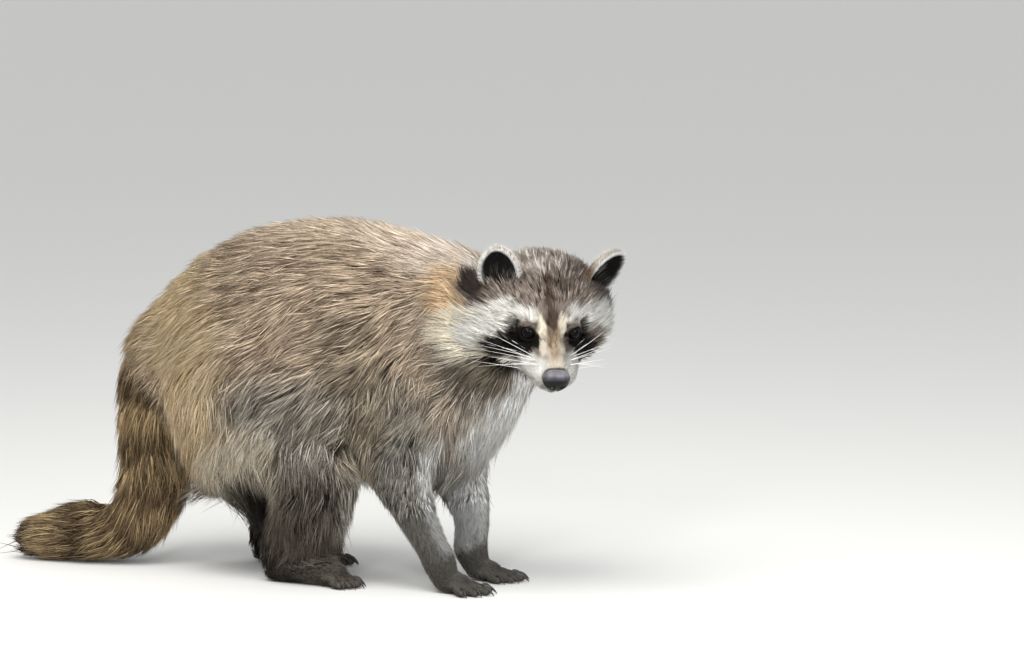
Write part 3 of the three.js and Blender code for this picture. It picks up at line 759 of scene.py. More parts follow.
def add_node(tree, kind, settings=None, inputs=None):
    """Adds a node with its own settings, and sets each input to a value or links it from a (node, output)."""
    node = tree.nodes.new(kind)
    for name, value in (settings or {}).items():
        setattr(node, name, value)
    for name, value in (inputs or {}).items():
        if isinstance(value, tuple) and isinstance(value[0], bpy.types.Node):
            tree.links.new(value[0].outputs[value[1]], node.inputs[name])
        else:
            node.inputs[name].default_value = value
    return node


def new_material(name, roughness, tone=None, **sockets):
    """A material, its node tree and its shader. tone is one hex colour, or each vertex has its own."""
    made = bpy.data.materials.new(name)
    made.use_nodes = True
    shader = made.node_tree.nodes["Principled BSDF"]
    shader.inputs["Roughness"].default_value = roughness
    for socket, value in sockets.items():
        shader.inputs[socket.replace("_", " ")].default_value = value
    if tone:
        shader.inputs["Base Color"].default_value = (*linear(tone), 1)
    else:
        own = add_node(made.node_tree, "ShaderNodeAttribute", {"attribute_name": "tone"})
        made.node_tree.links.new(own.outputs["Color"], shader.inputs["Base Color"])
    return made, made.node_tree, shader


def tube(spots, thick, aside, over, many):
    """The points and quads of a tube round a row of spots, its rings of many points spread aside and over."""
    turn = 2 * math.pi * np.arange(many)[:, None] / many
    spread = np.cos(turn) * np.atleast_2d(aside)[:, None] + np.sin(turn) * np.atleast_2d(over)[:, None]
    first, here = np.arange(len(spots) - 1)[:, None] * many, np.arange(many)
    after = (here + 1) % many
    quads = np.stack([first + here, first + many + here, first + many + after, first + after], -1)
    return (spots[:, None] + thick[:, None, None] * spread).reshape(-1, 3), quads.reshape(-1, 4)


# Polished glass over paint: sharp highlights, with the iris seen dark through it.
wet_glass, _, _ = new_material("painted glass eye", 0.03, IOR=1.36, Specular_IOR_Level=0.15)
opening = np.linspace(0.012, math.pi - 0.012, EYE_RINGS)
reach = EYE_RADIUS + CORNEA_BULGE * np.exp(-(opening / 0.6) ** 2)
ball, ball_quads = tube(np.outer(reach * np.cos(opening), [1, 0, 0]), reach * np.sin(opening),
                        [0, 1, 0], [0, 0, 1], EYE_ROUND)
off_axis = np.hypot(ball[:, 1], ball[:, 2]) + 20 * (ball[:, 0] < 0)
clock = np.arctan2(ball[:, 2], ball[:, 1])
streak = np.sin(23 * clock) * np.sin(41 * clock + 1)
eye_tones = np.tile(linear(EYE_TONES["white"]), (len(ball), 1))
for radius, tone in ((IRIS_RADIUS + 0.7, "iris_rim"), (IRIS_RADIUS, "iris"), (PUPIL_RADIUS, "pupil")):
    eye_tones[off_axis < radius] = linear(EYE_TONES[tone])
eye_tones *= np.where((off_axis > PUPIL_RADIUS) & (off_axis < IRIS_RADIUS), 1 + 0.35 * streak, 1)[:, None]
for s, word in ((-1, "right"), (1, "left")):
    middle, turn = eye_frame(s)
    eye = mesh_object(f"eyeball_{word}", middle + ball @ turn.T, [ball_quads])
    paint(eye.data, "tone", eye_tones)
    eye.data.materials.append(wet_glass)
    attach(eye, "root")
    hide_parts(f"eye_{word}")

# ---------------------------------------------------------------- the nose
# Bare leather at the end of the muzzle, pebbled and nearly black, its top painted grey as a painted sheen of
# the bright sky, with comma-shaped nostrils that curl round to the sides and a groove that runs down to the
# lip.
NOSE_AT = (44, 0, -22.2)
NOSE_SIZE = np.array([9.4, 12.4, 11.4])
NOSE_TAPER = -0.16
NOSE_CELL = 0.6
NOSE_ROOM = 2.5
NOSTRIL_BLEND = 0.9
GROOVE_BLEND = 0.8
# The grey tone is a painted sheen on the top of the leather, not a colour of its own.
NOSE_TONES = {"wet": linear("#060506"), "painted_sheen": linear("#6a686c"), "nostril": linear("#020202")}
NOSTRIL = np.array([
    [8.6, 4.4, -0.6, 2.3], [7.4, 7.2, -1.6, 1.7], [5.2, 10.2, -1.0, 1.0], [2.6, 12.2, 1.0, 0.6],
])
NOSTRILS = (NOSTRIL * [1, -1, 1, 1], NOSTRIL)
GROOVE = np.array([[9.4, 0, 0.5, 0.25], [9.0, 0, -3.6, 0.7], [6.4, 0, -8.6, 1.0], [3.0, 0, -11.5, 1.0]])
nose_turn = HEAD_TURN @ turned(0, 10, 0)


def nose_reach(own):
    """Signed distance to the nose leather, in its own frame."""
    gap = egg_gap(own, NOSE_SIZE, NOSE_TAPER)
    for nostril in NOSTRILS:
        gap = press(gap, -rod_gap(own, nostril), NOSTRIL_BLEND)
    return press(gap, -rod_gap(own, GROOVE), GROOVE_BLEND)


nose_points, *nose_faces = net_over(
    nose_reach, -NOSE_SIZE - NOSE_ROOM, NOSE_SIZE + NOSE_ROOM, NOSE_CELL, 2, lambda p: np.zeros(len(p), bool))
in_nostril = np.minimum(*(rod_gap(nose_points, nostril) for nostril in NOSTRILS)) < 0.4
# Painted sheen: the leather is painted lighter grey towards its top, where the sky would gleam on it.
painted_sheen = np.clip((0.69 * nose_points[:, 2] - 0.72 * nose_points[:, 0] + 2) / 6, 0, 1) ** 1.3
painted_sheen *= 0.85 + 0.15 * wander(nose_points, 3, 23)
nose_tones = NOSE_TONES["wet"] + painted_sheen[:, None] * (NOSE_TONES["painted_sheen"] - NOSE_TONES["wet"])
nose_tones[in_nostril] = NOSE_TONES["nostril"]
nose = mesh_object("nose_leather", on_head(NOSE_AT) + nose_points @ nose_turn.T, nose_faces)
paint(nose.data, "tone", nose_tones)
PEBBLE_MM = 1.1
damp_leather, tree, shader = new_material("damp pebbled leather", 0.26, IOR=1.4, Specular_IOR_Level=0.35)
place = add_node(tree, "ShaderNodeTexCoord")
pebbles = add_node(tree, "ShaderNodeTexVoronoi", {"feature": "SMOOTH_F1"},
                   {"Vector": (place, "Object"), "Scale": 1 / (PEBBLE_MM * MM)})
bump = add_node(tree, "ShaderNodeBump", {"invert": True},
                {"Height": (pebbles, "Distance"), "Distance": 0.25 * MM, "Strength": 0.7})
tree.links.new(bump.outputs["Normal"], shader.inputs["Normal"])
nose.data.materials.append(damp_leather)
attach(nose, "root")
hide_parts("nose")

# ---------------------------------------------------------------- the claws
# One curved claw of dark horn at the end of each digit, flattened from side to side and drawn to a blunt
# point that just clears the floor.
CLAW = 8
CLAW_ROUND = 8
CLAW_STEPS = 7
CLAW_FLATTEN = 0.62
CLAW_DROP = 1.2
CLAW_CURVE = 2.2
CLAW_ROOT = 0.14
CLAW_THICK = 0.44
CLAW_TIP = 0.3
CLAW_CLEAR = 0.9
CLAW_ARCH = 0.6
horn, _, _ = new_material("dark horn", 0.38, "#211a15", IOR=1.54)
share = np.arange(CLAW_STEPS) / (CLAW_STEPS - 1)
for paw in sorted({one["paw"] for one in digits}):
    claw_points, claw_faces, claw_ends = [], [], []
    for n, one in enumerate(one for one in digits if one["paw"] == paw):
        point, radius, root = one["point"], one["radius"], CLAW_ROOT * one["length"]
        spots = one["tip"] + (share * (CLAW + root) - root)[:, None] * point
        spots[:, 2] = (radius + CLAW_DROP) * (1 - share ** CLAW_CURVE) + CLAW_CLEAR
        spots[:, 2] += CLAW_ARCH * np.sin(math.pi * share)
        slope = -(radius + CLAW_DROP) * CLAW_CURVE * share ** (CLAW_CURVE - 1) / (CLAW + 1)
        thick = radius * CLAW_THICK * (1 - share) ** 0.7 + CLAW_TIP
        points, quads = tube(spots, thick, CLAW_FLATTEN * np.cross([0, 0, 1], point),
                             unit([0, 0, 1] - slope[:, None] * point, 0), CLAW_ROUND)
        start = n * len(points)
        claw_points.append(points)
        claw_faces.append(start + quads)
        last = start + len(points) - CLAW_ROUND
        claw_ends += [[last, last + k + 1, last + k] for k in range(1, CLAW_ROUND - 1)]
    claws = mesh_object(f"claws_{paw}", np.concatenate(claw_points),
                        [np.concatenate(claw_faces), np.array(claw_ends)])
    claws.data.materials.append(horn)
    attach(claws, "root")

# ---------------------------------------------------------------- the coat
# Dark under-wool close to the hide, and over it thin guard hairs that rise to the coat's depth and bend back
# to lie along the body, their tips drawn together in tufts. Face, ears and feet have short straight hairs.
RNG = np.random.default_rng(20)
# Each zone's hairs for each square millimetre of hide, and its slot. The real coat has a hundred times more
# hairs, each far thinner.
COAT = {
    "trunk": (0.53, "grizzled_coat"),
    "neck": (0.9, "grizzled_coat"),
    "chest": (0.7, "grizzled_coat"),
    "thigh": (0.56, "leg_coat"),
    "shank": (0.62, "leg_coat"),
    "hind_foot": (1.3, "paw_coat"),
    "upper_arm": (0.68, "leg_coat"),
    "forearm": (1.2, "leg_coat"),
    "forepaw": (1.8, "paw_coat"),
    "tail": (0.88, "tail_coat"),
    "head": (1.45, "face_coat"),
    "ears": (2.6, "ear_coat"),
}
FACE_DENSITY = 3.4
EAR_RIM_DENSITY = 7.0
LONG_COAT = 7.0
MIN_DEPTH = 1.2
MAX_DEPTH = 38.0
WOOL_SHARE = 0.15
EAR_FOOT = -17
BY_EAR = (1.2, 1.5)

hide_rows = np.concatenate([hide_quads[:, [0, 1, 2]], hide_quads[:, [0, 2, 3]], hide_triangles])
corners = hide_points[hide_rows]
face_areas = length_of(np.cross(corners[:, 1] - corners[:, 0], corners[:, 2] - corners[:, 0])) / 2


def ear_shares(points):
    """For each point: its ear (-1 for none), how much rim, cup and back it is, and its place on that ear."""
    which = np.full(len(points), -1)
    parts, own_places = np.zeros((2, len(points), 3))
    for n, ear in enumerate(EARS.values()):
        outer, cup, own = ear_gaps(points, ear)
        off_skin = np.abs(press(outer, -cup, EAR_EDGE_BLEND))
        here = (off_skin < BY_EAR[0]) & (outer < BY_EAR[1]) & (own[:, 2] > EAR_FOOT)
        behind = np.abs(outer) < np.abs(cup)
        from_edge = np.where(behind, own[:, 0] - 2.2, ((own[:, 0] - 0.4) / 3.2).clip(0, 1) ** 2)
        rim = np.clip(from_edge, 0, 1) * np.clip((own[:, 2] + 15) / 8, 0, 1)
        back = np.where(behind, 1 - rim, 0)
        which[here] = n
        parts[here] = np.stack([rim, 1 - rim - back, back], 1)[here]
        own_places[here] = own[here]
    return which, parts, own_places


def sample_hide(density):
    """Points spread evenly over the hide, so many to each square millimetre of every face."""
    share = np.cumsum(face_areas * density)
    count = int(share[-1])
    picks = np.searchsorted(share, (np.arange(count) + RNG.random(count)) * share[-1] / count)
    picks = np.minimum(picks, len(face_areas) - 1)
    u, v = RNG.random((2, count))
    u, v = np.where(u + v > 1, (1 - u, 1 - v), (u, v))[..., None]
    a, b, c = (corners[picks, n] for n in range(3))
    return a + u * (b - a) + v * (c - a)


# Places where the coat grows longer and hangs free over what lies below it: the breast, the ruffs of the
# cheeks, the flanks over the knees, the backs and sides of the thighs and the fronts of the shanks. Each has
# its reach, how much longer its hair is, and where it heads.
LONGER = [([182, -12, 150], 50, 0.35, [0.6, 0, -0.8])]
for s in (-1, 1):
    LONGER += [
        (on_head([-30, s * 50, -20]), 34, 0.5, HEAD_TURN @ [-1, s * 0.5, -0.3]),
        ([52, s * 82, 158], 42, 0.5, [-0.35, 0, -1]),
        ([-92, s * 70, 118], 46, 0.5, [-0.3, 0, -1]),
        ([-40, s * 78, 100], 40, 0.5, [-0.1, 0, -1]),
    ]
for x, y in (HIND_FOOT_RIGHT, HIND_FOOT_LEFT):
    LONGER.append(([x + 66, y, 82], 34, 0.6, [0.1, 0, -1]))
DENSER = 0.45


def closeness(points, place, size):
    """How near each point is to a place, from 1 at the place down to 0 a little beyond size."""
    return np.clip(1.3 - length_of(points - place) / size, 0, 1)


ear_of_hide, hide_ear_parts, _ = ear_shares(hide_points)
density = hide_weights @ np.array([COAT[zone][0] for zone in ZONES])
on_face = np.clip((9 - hide_depths) / 4, 0, 1) * hide_weights[:, ZONES.index("head")]
density += on_face * (FACE_DENSITY - density)
for place, size, _, _ in LONGER:
    density *= 1 + DENSER * closeness(hide_points, place, size)
ear_density = COAT["ears"][0] + hide_ear_parts[:, 0] * (EAR_RIM_DENSITY - COAT["ears"][0])
density = np.where(ear_of_hide >= 0, ear_density, density)
roots = sample_hide(density[hide_rows].mean(1))
normals = normals_at(hide_reach, roots)
weights, lie, nearest, places = growth(roots, normals)
depth = np.clip(-coat_reach(roots), MIN_DEPTH, MAX_DEPTH)

# The ears' own hair: dense white fuzz on the rim, fine dark hair in the cup with long grey wisps from its
# floor, and grey hair on the back, brown at its base. Tones and lengths are for the rim, cup and back.
which_ear, ear_parts, ear_own = ear_shares(roots)
EAR_TONES = [("#fbf9f4", "#fffffc"), ("#080706", "#1a1714"), ("#8a8175", "#ded6c9")]
EAR_BASE = ("#3c2c1f", "#80664c")
EAR_HAIR = (1.3, 1.6, 1.5)
WISP = {"share": 0.05, "below": -5, "depth": 8.0, "tones": ("#1b1815", "#7b756b")}
wisp = np.zeros(len(roots), bool)
for n, ear in enumerate(EARS.values()):
    here = np.flatnonzero(which_ear == n)
    parts, own = ear_parts[here], ear_own[here]
    outward = unit(np.stack([0.35 * np.ones(len(here)), own[:, 1], own[:, 2] + 8], 1), 0)
    outward += RNG.normal(size=outward.shape) * 0.2
    in_cup = parts[:, 1] > 0.5
    outward[in_cup] = [0.4, 0, 1]
    lie[here] = unit(off_normal(outward @ ear_frame(ear)[1].T, normals[here], 1 - parts[:, :1]))
    depth[here] = parts @ np.array(EAR_HAIR)
    depth[here] *= 1 + 1.3 * (RNG.random(len(here)) < 0.06) * (1 - parts[:, 1])
    wisp[here] = in_cup & (own[:, 2] < WISP["below"]) & (RNG.random(len(here)) < WISP["share"])
depth[wisp] = WISP["depth"]

# Hair keeps clear of the eyes and the nose leather, and lies away from the corners of the lids.
LID_BARE = 0.9
NOSE_BARE = 0.3
SOLE_BARE = 1.2
LASH_REACH = 13
LID_HAIR = 1.7
keep = egg_gap((roots - on_head(NOSE_AT)) @ nose_turn, NOSE_SIZE, NOSE_TAPER) > NOSE_BARE
keep &= roots[:, 2] > SOLE_BARE
for s in (-1, 1):
    middle, turn = eye_frame(s)
    own = (roots - middle) @ turn
    span = length_of(own)
    keep &= ~((lid_gap(own) < LID_BARE) & (span < LASH_REACH))
    lie += np.clip((17 - span) / 7, 0, 1)[:, None] * 1.4 * unit(off_normal(roots - middle, normals))
    off_lid = (span - 9) / 8
    by_lid = (off_lid < 1) & (which_ear < 0)
    depth = np.where(by_lid, np.minimum(depth, LID_HAIR + 8 * np.maximum(off_lid, 0)), depth)
lie = unit(lie)
roots, normals, lie, depth, weights = (rows[keep] for rows in (roots, normals, lie, depth, weights))
nearest, places, which_ear, ear_parts, ear_own, wisp = (
    rows[keep] for rows in (nearest, places, which_ear, ear_parts, ear_own, wisp))
on_ears = which_ear >= 0


def tufts_of(points, size, seed):
    """The number of the tuft that each root leans to: the nearest of scattered middles about size apart."""
    base = np.floor(points / size[:, None]).astype(np.int64)
    best, number = np.full(len(points), FAR), np.zeros(len(points), np.int64)
    for step in lattice(*[(-1, 0, 1)] * 3):
        cell = base + step
        code = (cell * [73856093, 19349663, 83492791]).sum(1) + seed
        jitter = np.stack([((code * k) % 9973) / 9973 for k in (31, 57, 101)], 1)
        gap = length_of(points - (cell + jitter) * size[:, None])
        closer = gap < best
        best[closer] = gap[closer]
        number[closer] = code[closer]
    return np.unique(number, return_inverse=True)[1]


def mean_of(values, group):
    """The mean of the values in each group, given back for every member."""
    sums = [np.bincount(group, values[:, n]) for n in range(values.shape[1])]
    return (np.stack(sums, 1) / np.bincount(group)[:, None])[group]


def chance():
    """A random number from 0 to 1 for every hair."""
    return RNG.random(len(roots))


count = len(roots)
long = (depth > LONG_COAT) & ~on_ears
wool = long & (chance() < WOOL_SHARE)
zone_share = {zone: weights[:, n] for n, zone in enumerate(ZONES)}
shaggy = sum(zone_share[zone] for zone in ("thigh", "shank", "upper_arm", "chest", "tail"))
WOOL_RISE = 0.6
TUFT_SIZES = {"short": 2.4, "sleek": 4.2, "shaggy": 6.0}
tuft_size = np.select([~long, shaggy > 0.5], [TUFT_SIZES["short"], TUFT_SIZES["shaggy"]], TUFT_SIZES["sleek"])
tuft = tufts_of(roots, tuft_size, 7)
tuft_random = RNG.random((tuft.max() + 1, 4))[tuft]
# Some guard hairs are coarser, longer and paler than the rest, and lie over them.
COARSE = {"share": 0.17, "longer": 1.15, "lift": 2.4, "thick": 1.4, "paler": 1.3}
coarse = long & ~wool & (chance() < COARSE["share"] * (0.7 + 0.6 * shaggy) * (1 - 0.6 * zone_share["head"]))
LOCK_SIZE = 13.0
lock = tufts_of(roots, np.full(count, LOCK_SIZE), 19)
lock_random = RNG.random(lock.max() + 1)[lock]
patchy = wander(roots, 13, 31)

# A hair's length for its depth, how far its lie strays, and how high its tip reaches.
length = (depth * (1.9 + 0.25 * shaggy) + 1.5) * (0.8 + 0.3 * chance())
length *= np.where(coarse, COARSE["longer"], 1)
hangs = np.zeros(count)
for place, size, extra, heading in LONGER:
    near = closeness(roots, place, size) * (long & ~wool) * np.where(coarse, 0.5, 1)
    length *= 1 + extra * near
    lie = lie + 1.6 * near[:, None] * heading
    hangs = np.maximum(hangs, near)
lie = unit(off_normal(lie, normals, ~on_ears[:, None]))
across = np.cross(normals, lie)
stray = (tuft_random[:, 0] - 0.5) * (0.45 + 0.35 * shaggy) + RNG.normal(size=count) * 0.11
stray += 0.16 * long * wander(roots, 34, 41)
lie = lie * np.cos(stray)[:, None] + across * np.sin(stray)[:, None]
rise = depth * (1.10 - 0.34 * chance() ** 1.5 - 0.07 * tuft_random[:, 1] - 0.05 * patchy)
rise = np.minimum(rise * np.where(wool, WOOL_RISE, 1), length * 0.9)
run_out = np.sqrt(length ** 2 - rise ** 2)
tips = roots + lie * run_out[:, None] + normals * rise[:, None]
body = np.flatnonzero(~on_ears)
FLYAWAY = {"share": 0.08, "lift": 7, "head": 4.0}
crown = zone_share["head"] * np.clip((depth - 3) / 4, 0, 1) * ~on_ears
lift = chance() * FLYAWAY["lift"] * np.maximum(long, crown)
lift *= chance() < FLYAWAY["share"] * (1 + FLYAWAY["head"] * crown)
lift += hangs * (1 + 5 * chance()) + coarse * COARSE["lift"] * chance()
limit = (0.6 + 0.5 * np.minimum(2 * hangs, 1)) * length
tips[body] = onto(coat_reach, tips[body], target=(rise - depth + lift)[body], limit=limit[body])
lean = np.where(coarse, 0.1, np.where(long, 0.3 + 0.4 * tuft_random[:, 2], 0.2))[:, None]
tips += lean * (mean_of(tips, tuft) - tips)
tips += 0.16 * long[:, None] * (mean_of(tips, lock) - tips)
tips += RNG.normal(size=(count, 3)) * (0.02 * length)[:, None]
# Long hair on the undersides hangs free in a thin fringe.
FRINGE = {"share": 0.3, "drop": (4, 16)}
on_body = sum(zone_share[zone] for zone in ("trunk", "chest", "upper_arm")) > 0.6
under = np.clip(0.15 - 1.1 * normals[:, 2], 0, 1) * long * on_body * (roots[:, 2] > 60)
hanging = under * (chance() < FRINGE["share"]) * RNG.uniform(*FRINGE["drop"], count)
tips -= hanging[:, None] * [0.15, 0, 1]
tips[:, 2] = np.maximum(tips[:, 2], 0.6 + 2 * chance())

# Each hair is a curve that leaves the hide steeply and bends over. Wool is drawn from its root and stays low,
# and guard hairs are drawn from where they leave the wool.
knees = roots + normals * (0.9 * rise)[:, None] + lie * (0.22 * run_out)[:, None]
sway = long * (0.16 * wander(roots, 16, 43) + 0.05 * RNG.normal(size=count))
knees += across * (sway * length)[:, None]


def along_hair(wool_share, guard_share):
    """The points that are these shares of the way up the wool and the guard hairs."""
    share = np.where(wool, wool_share, guard_share)[:, None]
    return (1 - share) ** 2 * roots + 2 * share * (1 - share) * knees + share ** 2 * tips


starts, bends, ends = along_hair(0.0, 0.22), along_hair(0.38, 0.60), along_hair(0.74, 1.0)
bends += 0.35 * lean * (mean_of(bends, tuft) - bends)
for spots in (bends, starts):
    spots[:, 2] = np.maximum(spots[:, 2], 0.8)

# Hair is coloured by where its end shows. Tufts differ in tone, a few hairs end dark, and wool stays darker.
DARK_TIPS = 0.05
BRIGHTEST = 0.9
WOOL_PALE = 0.4
root_tones, tip_tones = tones_of(0.7 * ends + 0.3 * bends, weights, tail_places(nearest, places))
ear_base = on_ears * ear_parts[:, 2] * np.clip((-2 - ear_own[:, 2]) / 10, 0, 1)
for column, tones in enumerate((root_tones, tip_tones)):
    tones[on_ears] = ear_parts[on_ears] @ np.array([linear(pair[column]) for pair in EAR_TONES])
    tones += ear_base[:, None] * (linear(EAR_BASE[column]) - tones)
    tones[wisp] = linear(WISP["tones"][column])
brown = long * (0.75 * (1 - tuft_random[:, 3]) ** 1.5 + 0.35 * (1 - lock_random) ** 1.5).clip(0, 0.95)
brown *= np.where(coarse, 0.15, 1)
tip_tones += brown[:, None] * (1.4 * root_tones - tip_tones)
shade = 0.98 + 0.12 * tuft_random[:, 3] + 0.12 * lock_random + 0.08 * patchy
shade *= 0.5 + 1.15 * chance() ** 1.5
shade = np.where(long, shade, 0.66 + 0.52 * chance())
shade = np.where(coarse, COARSE["paler"] * (0.85 + 0.3 * chance()), shade)
dark_tipped = long & ~coarse & (chance() < DARK_TIPS)
tip_tones = np.where(dark_tipped[:, None], root_tones * 1.3 + 0.12 * tip_tones, tip_tones)
tip_tones = np.where(wool[:, None], root_tones + WOOL_PALE * (tip_tones - root_tones), tip_tones)
tip_tones *= np.minimum(shade, BRIGHTEST / tip_tones.max(1))[:, None]
root_tones = root_tones * (0.8 + 0.4 * chance())[:, None]
THICK = {"guard": 0.31, "wool": 0.9, "short": 0.2, "ear": 0.17}
thick = np.select([wool, long, on_ears], [THICK["wool"], THICK["guard"], THICK["ear"]], THICK["short"])
thick *= (0.7 + 0.6 * chance()) * np.where(coarse, COARSE["thick"], 1)

# Hair is keratin, matt and a little silky. Its root is dark and its tip pale.
hair, tree, shader = new_material("guard hair", 0.55, "#ffffff", IOR=1.55, Specular_IOR_Level=0.16)
root_tone, tip_tone, run = (add_node(tree, "ShaderNodeAttribute", {"attribute_name": name})
                            for name in ("root_tone", "tip_tone", "run"))
ramp = add_node(tree, "ShaderNodeMapRange", {"interpolation_type": "SMOOTHSTEP"},
                {"Value": (run, "Fac"), "From Min": 0.05, "From Max": 0.72})
tone = add_node(tree, "ShaderNodeMix", {"data_type": "RGBA"},
                {0: (ramp, "Result"), 6: (root_tone, "Color"), 7: (tip_tone, "Color")})
tree.links.new(tone.outputs[2], shader.inputs["Base Color"])


def unwrap_places(rows):
    """Each root's place on an unwrap of the hide, where every form of a piece unrolls into its own tile."""
    tile = np.where(on_ears[rows], len(forms) + which_ear[rows], nearest[rows])
    along = places[rows].copy()
    turn_round = np.zeros(len(rows))
    kinds, order = np.unique(tile, return_inverse=True)
    for kind in kinds:
        here = np.flatnonzero(tile == kind)
        spots = roots[rows[here]]
        if kind < len(forms):
            one = forms[kind]
            stretch = np.minimum((along[here] * len(one["steps"])).astype(int), len(one["steps"]) - 1)
            over = np.cross(unit(one["steps"][stretch, :3], 0), one["side"])
            away = spots - one["starts"][stretch, :3]
            turn_round[here] = np.arctan2((away * one["side"]).sum(1), (away * over).sum(1))
        else:
            middle, turn = ear_frame(list(EARS.values())[kind - len(forms)])
            own = (spots - middle) @ turn
            turn_round[here] = np.arctan2(own[:, 1], own[:, 0])
            along[here] = np.clip((own[:, 2] + 24) / 48, 0, 1)
    columns = math.ceil(math.sqrt(len(kinds)))
    margin = 0.01
    in_tile = np.stack([np.clip(along, 0, 1), turn_round / (2 * math.pi) + 0.5], 1)
    return (np.stack([order % columns, order // columns], 1) + margin + (1 - 2 * margin) * in_tile) / columns


PATCH = 0.003


def lay_hairs(name, chosen):
    """Pieces of coat from the chosen roots: closed bent hairs where it is long, straight spikes elsewhere."""
    turns = [2 * math.pi * n / 3 for n in range(3)]
    sides = [(0, 1), (1, 2), (2, 0)]
    for bent in (True, False):
        rows = chosen[long[chosen] == bent]
        if not len(rows):
            continue
        start, tip = starts[rows], ends[rows]
        middle = bends[rows] if bent else start - 0.3 * normals[rows]
        heading = unit(tip - start, 1e-9)
        u = unit(np.cross(heading, normals[rows] + 0.01), 1e-9)
        v = np.cross(heading, u)
        points = [middle + thick[rows][:, None] * (math.cos(turn) * u + math.sin(turn) * v) for turn in turns]
        patch = [(PATCH * 0.5 * math.cos(turn), PATCH * 0.1 * math.sin(turn)) for turn in turns]
        faces = [[a, b, 3] for a, b in sides]
        if bent:
            points, runs = [*points, tip, start], [0.45, 0.45, 0.45, 1, 0]
            patch += [(0, PATCH * 0.5), (0, -PATCH * 0.5)]
            faces += [[b, a, 4] for a, b in sides]
        else:
            points, runs = [*points, tip], [0, 0, 0, 1]
            patch = [(x, y - PATCH * 0.4) for x, y in patch] + [(0, PATCH * 0.5)]
        each = len(points)
        triangles = ((np.arange(len(rows)) * each)[:, None, None] + np.array(faces)).reshape(-1, 3)
        points = np.stack(points, 1).reshape(-1, 3)
        piece = mesh_object(name + ("" if bent else "_short"), points, [triangles])
        paint(piece.data, "root_tone", np.repeat(root_tones[rows], each, 0))
        paint(piece.data, "tip_tone", np.repeat(tip_tones[rows], each, 0))
        paint(piece.data, "run", np.tile(np.array(runs, float), len(rows)))
        spots = (unwrap_places(rows)[:, None] + np.array(patch)).reshape(-1, 2)
        piece.data.uv_layers.new(name="OFBake").data.foreach_set("uv", spots[triangles.ravel()].ravel())
        piece.data.materials.append(hair)
        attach(piece, "root")


BACK_HEIGHT = 240
zone_number = np.where(on_ears, len(ZONES), weights.argmax(1))
aside = np.where(zone_number == ZONES.index("head"), to_head(roots)[:, 1], roots[:, 1])
on_side = {"_right": aside < 0, "_left": aside >= 0}
on_back = {"back": roots[:, 2] > BACK_HEIGHT, "flank": roots[:, 2] <= BACK_HEIGHT}
for number, (zone, (_, slot)) in enumerate(COAT.items()):
    here = zone_number == number
    pieces = {zone: here}
    if zone == "trunk":
        pieces = {part + side: here & on_back[part] & on_side[side] for side in on_side for part in on_back}
    elif zone == "head":
        pieces = {zone + side: here & on_side[side] for side in on_side}
    for piece, chosen in pieces.items():
        lay_hairs(f"coat_{piece}", np.flatnonzero(chosen))

# ---------------------------------------------------------------- the hide's finish
# Tanned skin, matt and finely pored. Under the coat it takes the colour of the wool at its root, and where
# the coat is short nearly that of its tips. The lid rims, the lips and the soles are nearly black.
LID_BLACK = linear("#0a0807")
SOLE_BLACK = linear("#1d1916")
NOSE_EDGE = linear("#3b3734")
hide_tones = hide_roots + np.clip(1 - hide_depths / 9, 0, 0.6)[:, None] * (hide_tips - hide_roots)
ear_skin = hide_ear_parts @ np.array([linear("#e8e4dc"), linear("#15110e"), linear("#7d7063")])
hide_tones = np.where((ear_of_hide >= 0)[:, None], ear_skin, hide_tones)


def stain(share, tone):
    """Moves the hide's own tones towards a tone by a share for each of its points."""
    hide_tones[:] += share[:, None] * (tone - hide_tones)


for s in (-1, 1):
    middle, turn = eye_frame(s)
    own = (hide_points - middle) @ turn
    stain(np.clip((2.0 - lid_gap(own)) / 1.2, 0, 1) * (length_of(own) < LASH_REACH), LID_BLACK)
stain(np.clip(-hide_normals[:, 2] * 2 - 0.4, 0, 1) * np.clip((9 - hide_points[:, 2]) / 3, 0, 1), SOLE_BLACK)
off_lips = np.minimum(*(rod_gap(to_head(hide_points), LIP_LINE * [1, s, 1, 1]) for s in (-1, 1)))
stain(np.clip((1.0 - off_lips) / 1.2, 0, 1), LID_BLACK)
off_nose = egg_gap((hide_points - on_head(NOSE_AT)) @ nose_turn, NOSE_SIZE, NOSE_TAPER)
stain(np.clip((2.2 - off_nose) / 1.5, 0, 1), NOSE_EDGE)
paint(hide.data, "tone", hide_tones)

PORE_MM = 1.2
tanned_skin, tree, shader = new_material("tanned skin", 0.7, Specular_IOR_Level=0.15)
place = add_node(tree, "ShaderNodeTexCoord")
pores = add_node(tree, "ShaderNodeTexNoise", None,
                 {"Vector": (place, "Object"), "Scale": 1 / (PORE_MM * MM), "Detail": 3.0})
bump = add_node(tree, "ShaderNodeBump", None,
                {"Height": (pores, "Fac"), "Distance": 0.3 * MM, "Strength": 0.6})
tree.links.new(bump.outputs["Normal"], shader.inputs["Normal"])
hide.data.materials.append(tanned_skin)
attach(hide, "root")
FLESH_NODES = [
    "trunk", "neck", "head", "ear_right", "ear_left", "tail_base", "tail_middle", "tail_bend", "tail_tip",
]
for word in ("right", "left"):
    FLESH_NODES += [part + "_" + word for part in (
        "thigh", "shank", "hind_foot", "upper_arm", "forearm", "forepaw")]
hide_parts(*FLESH_NODES)

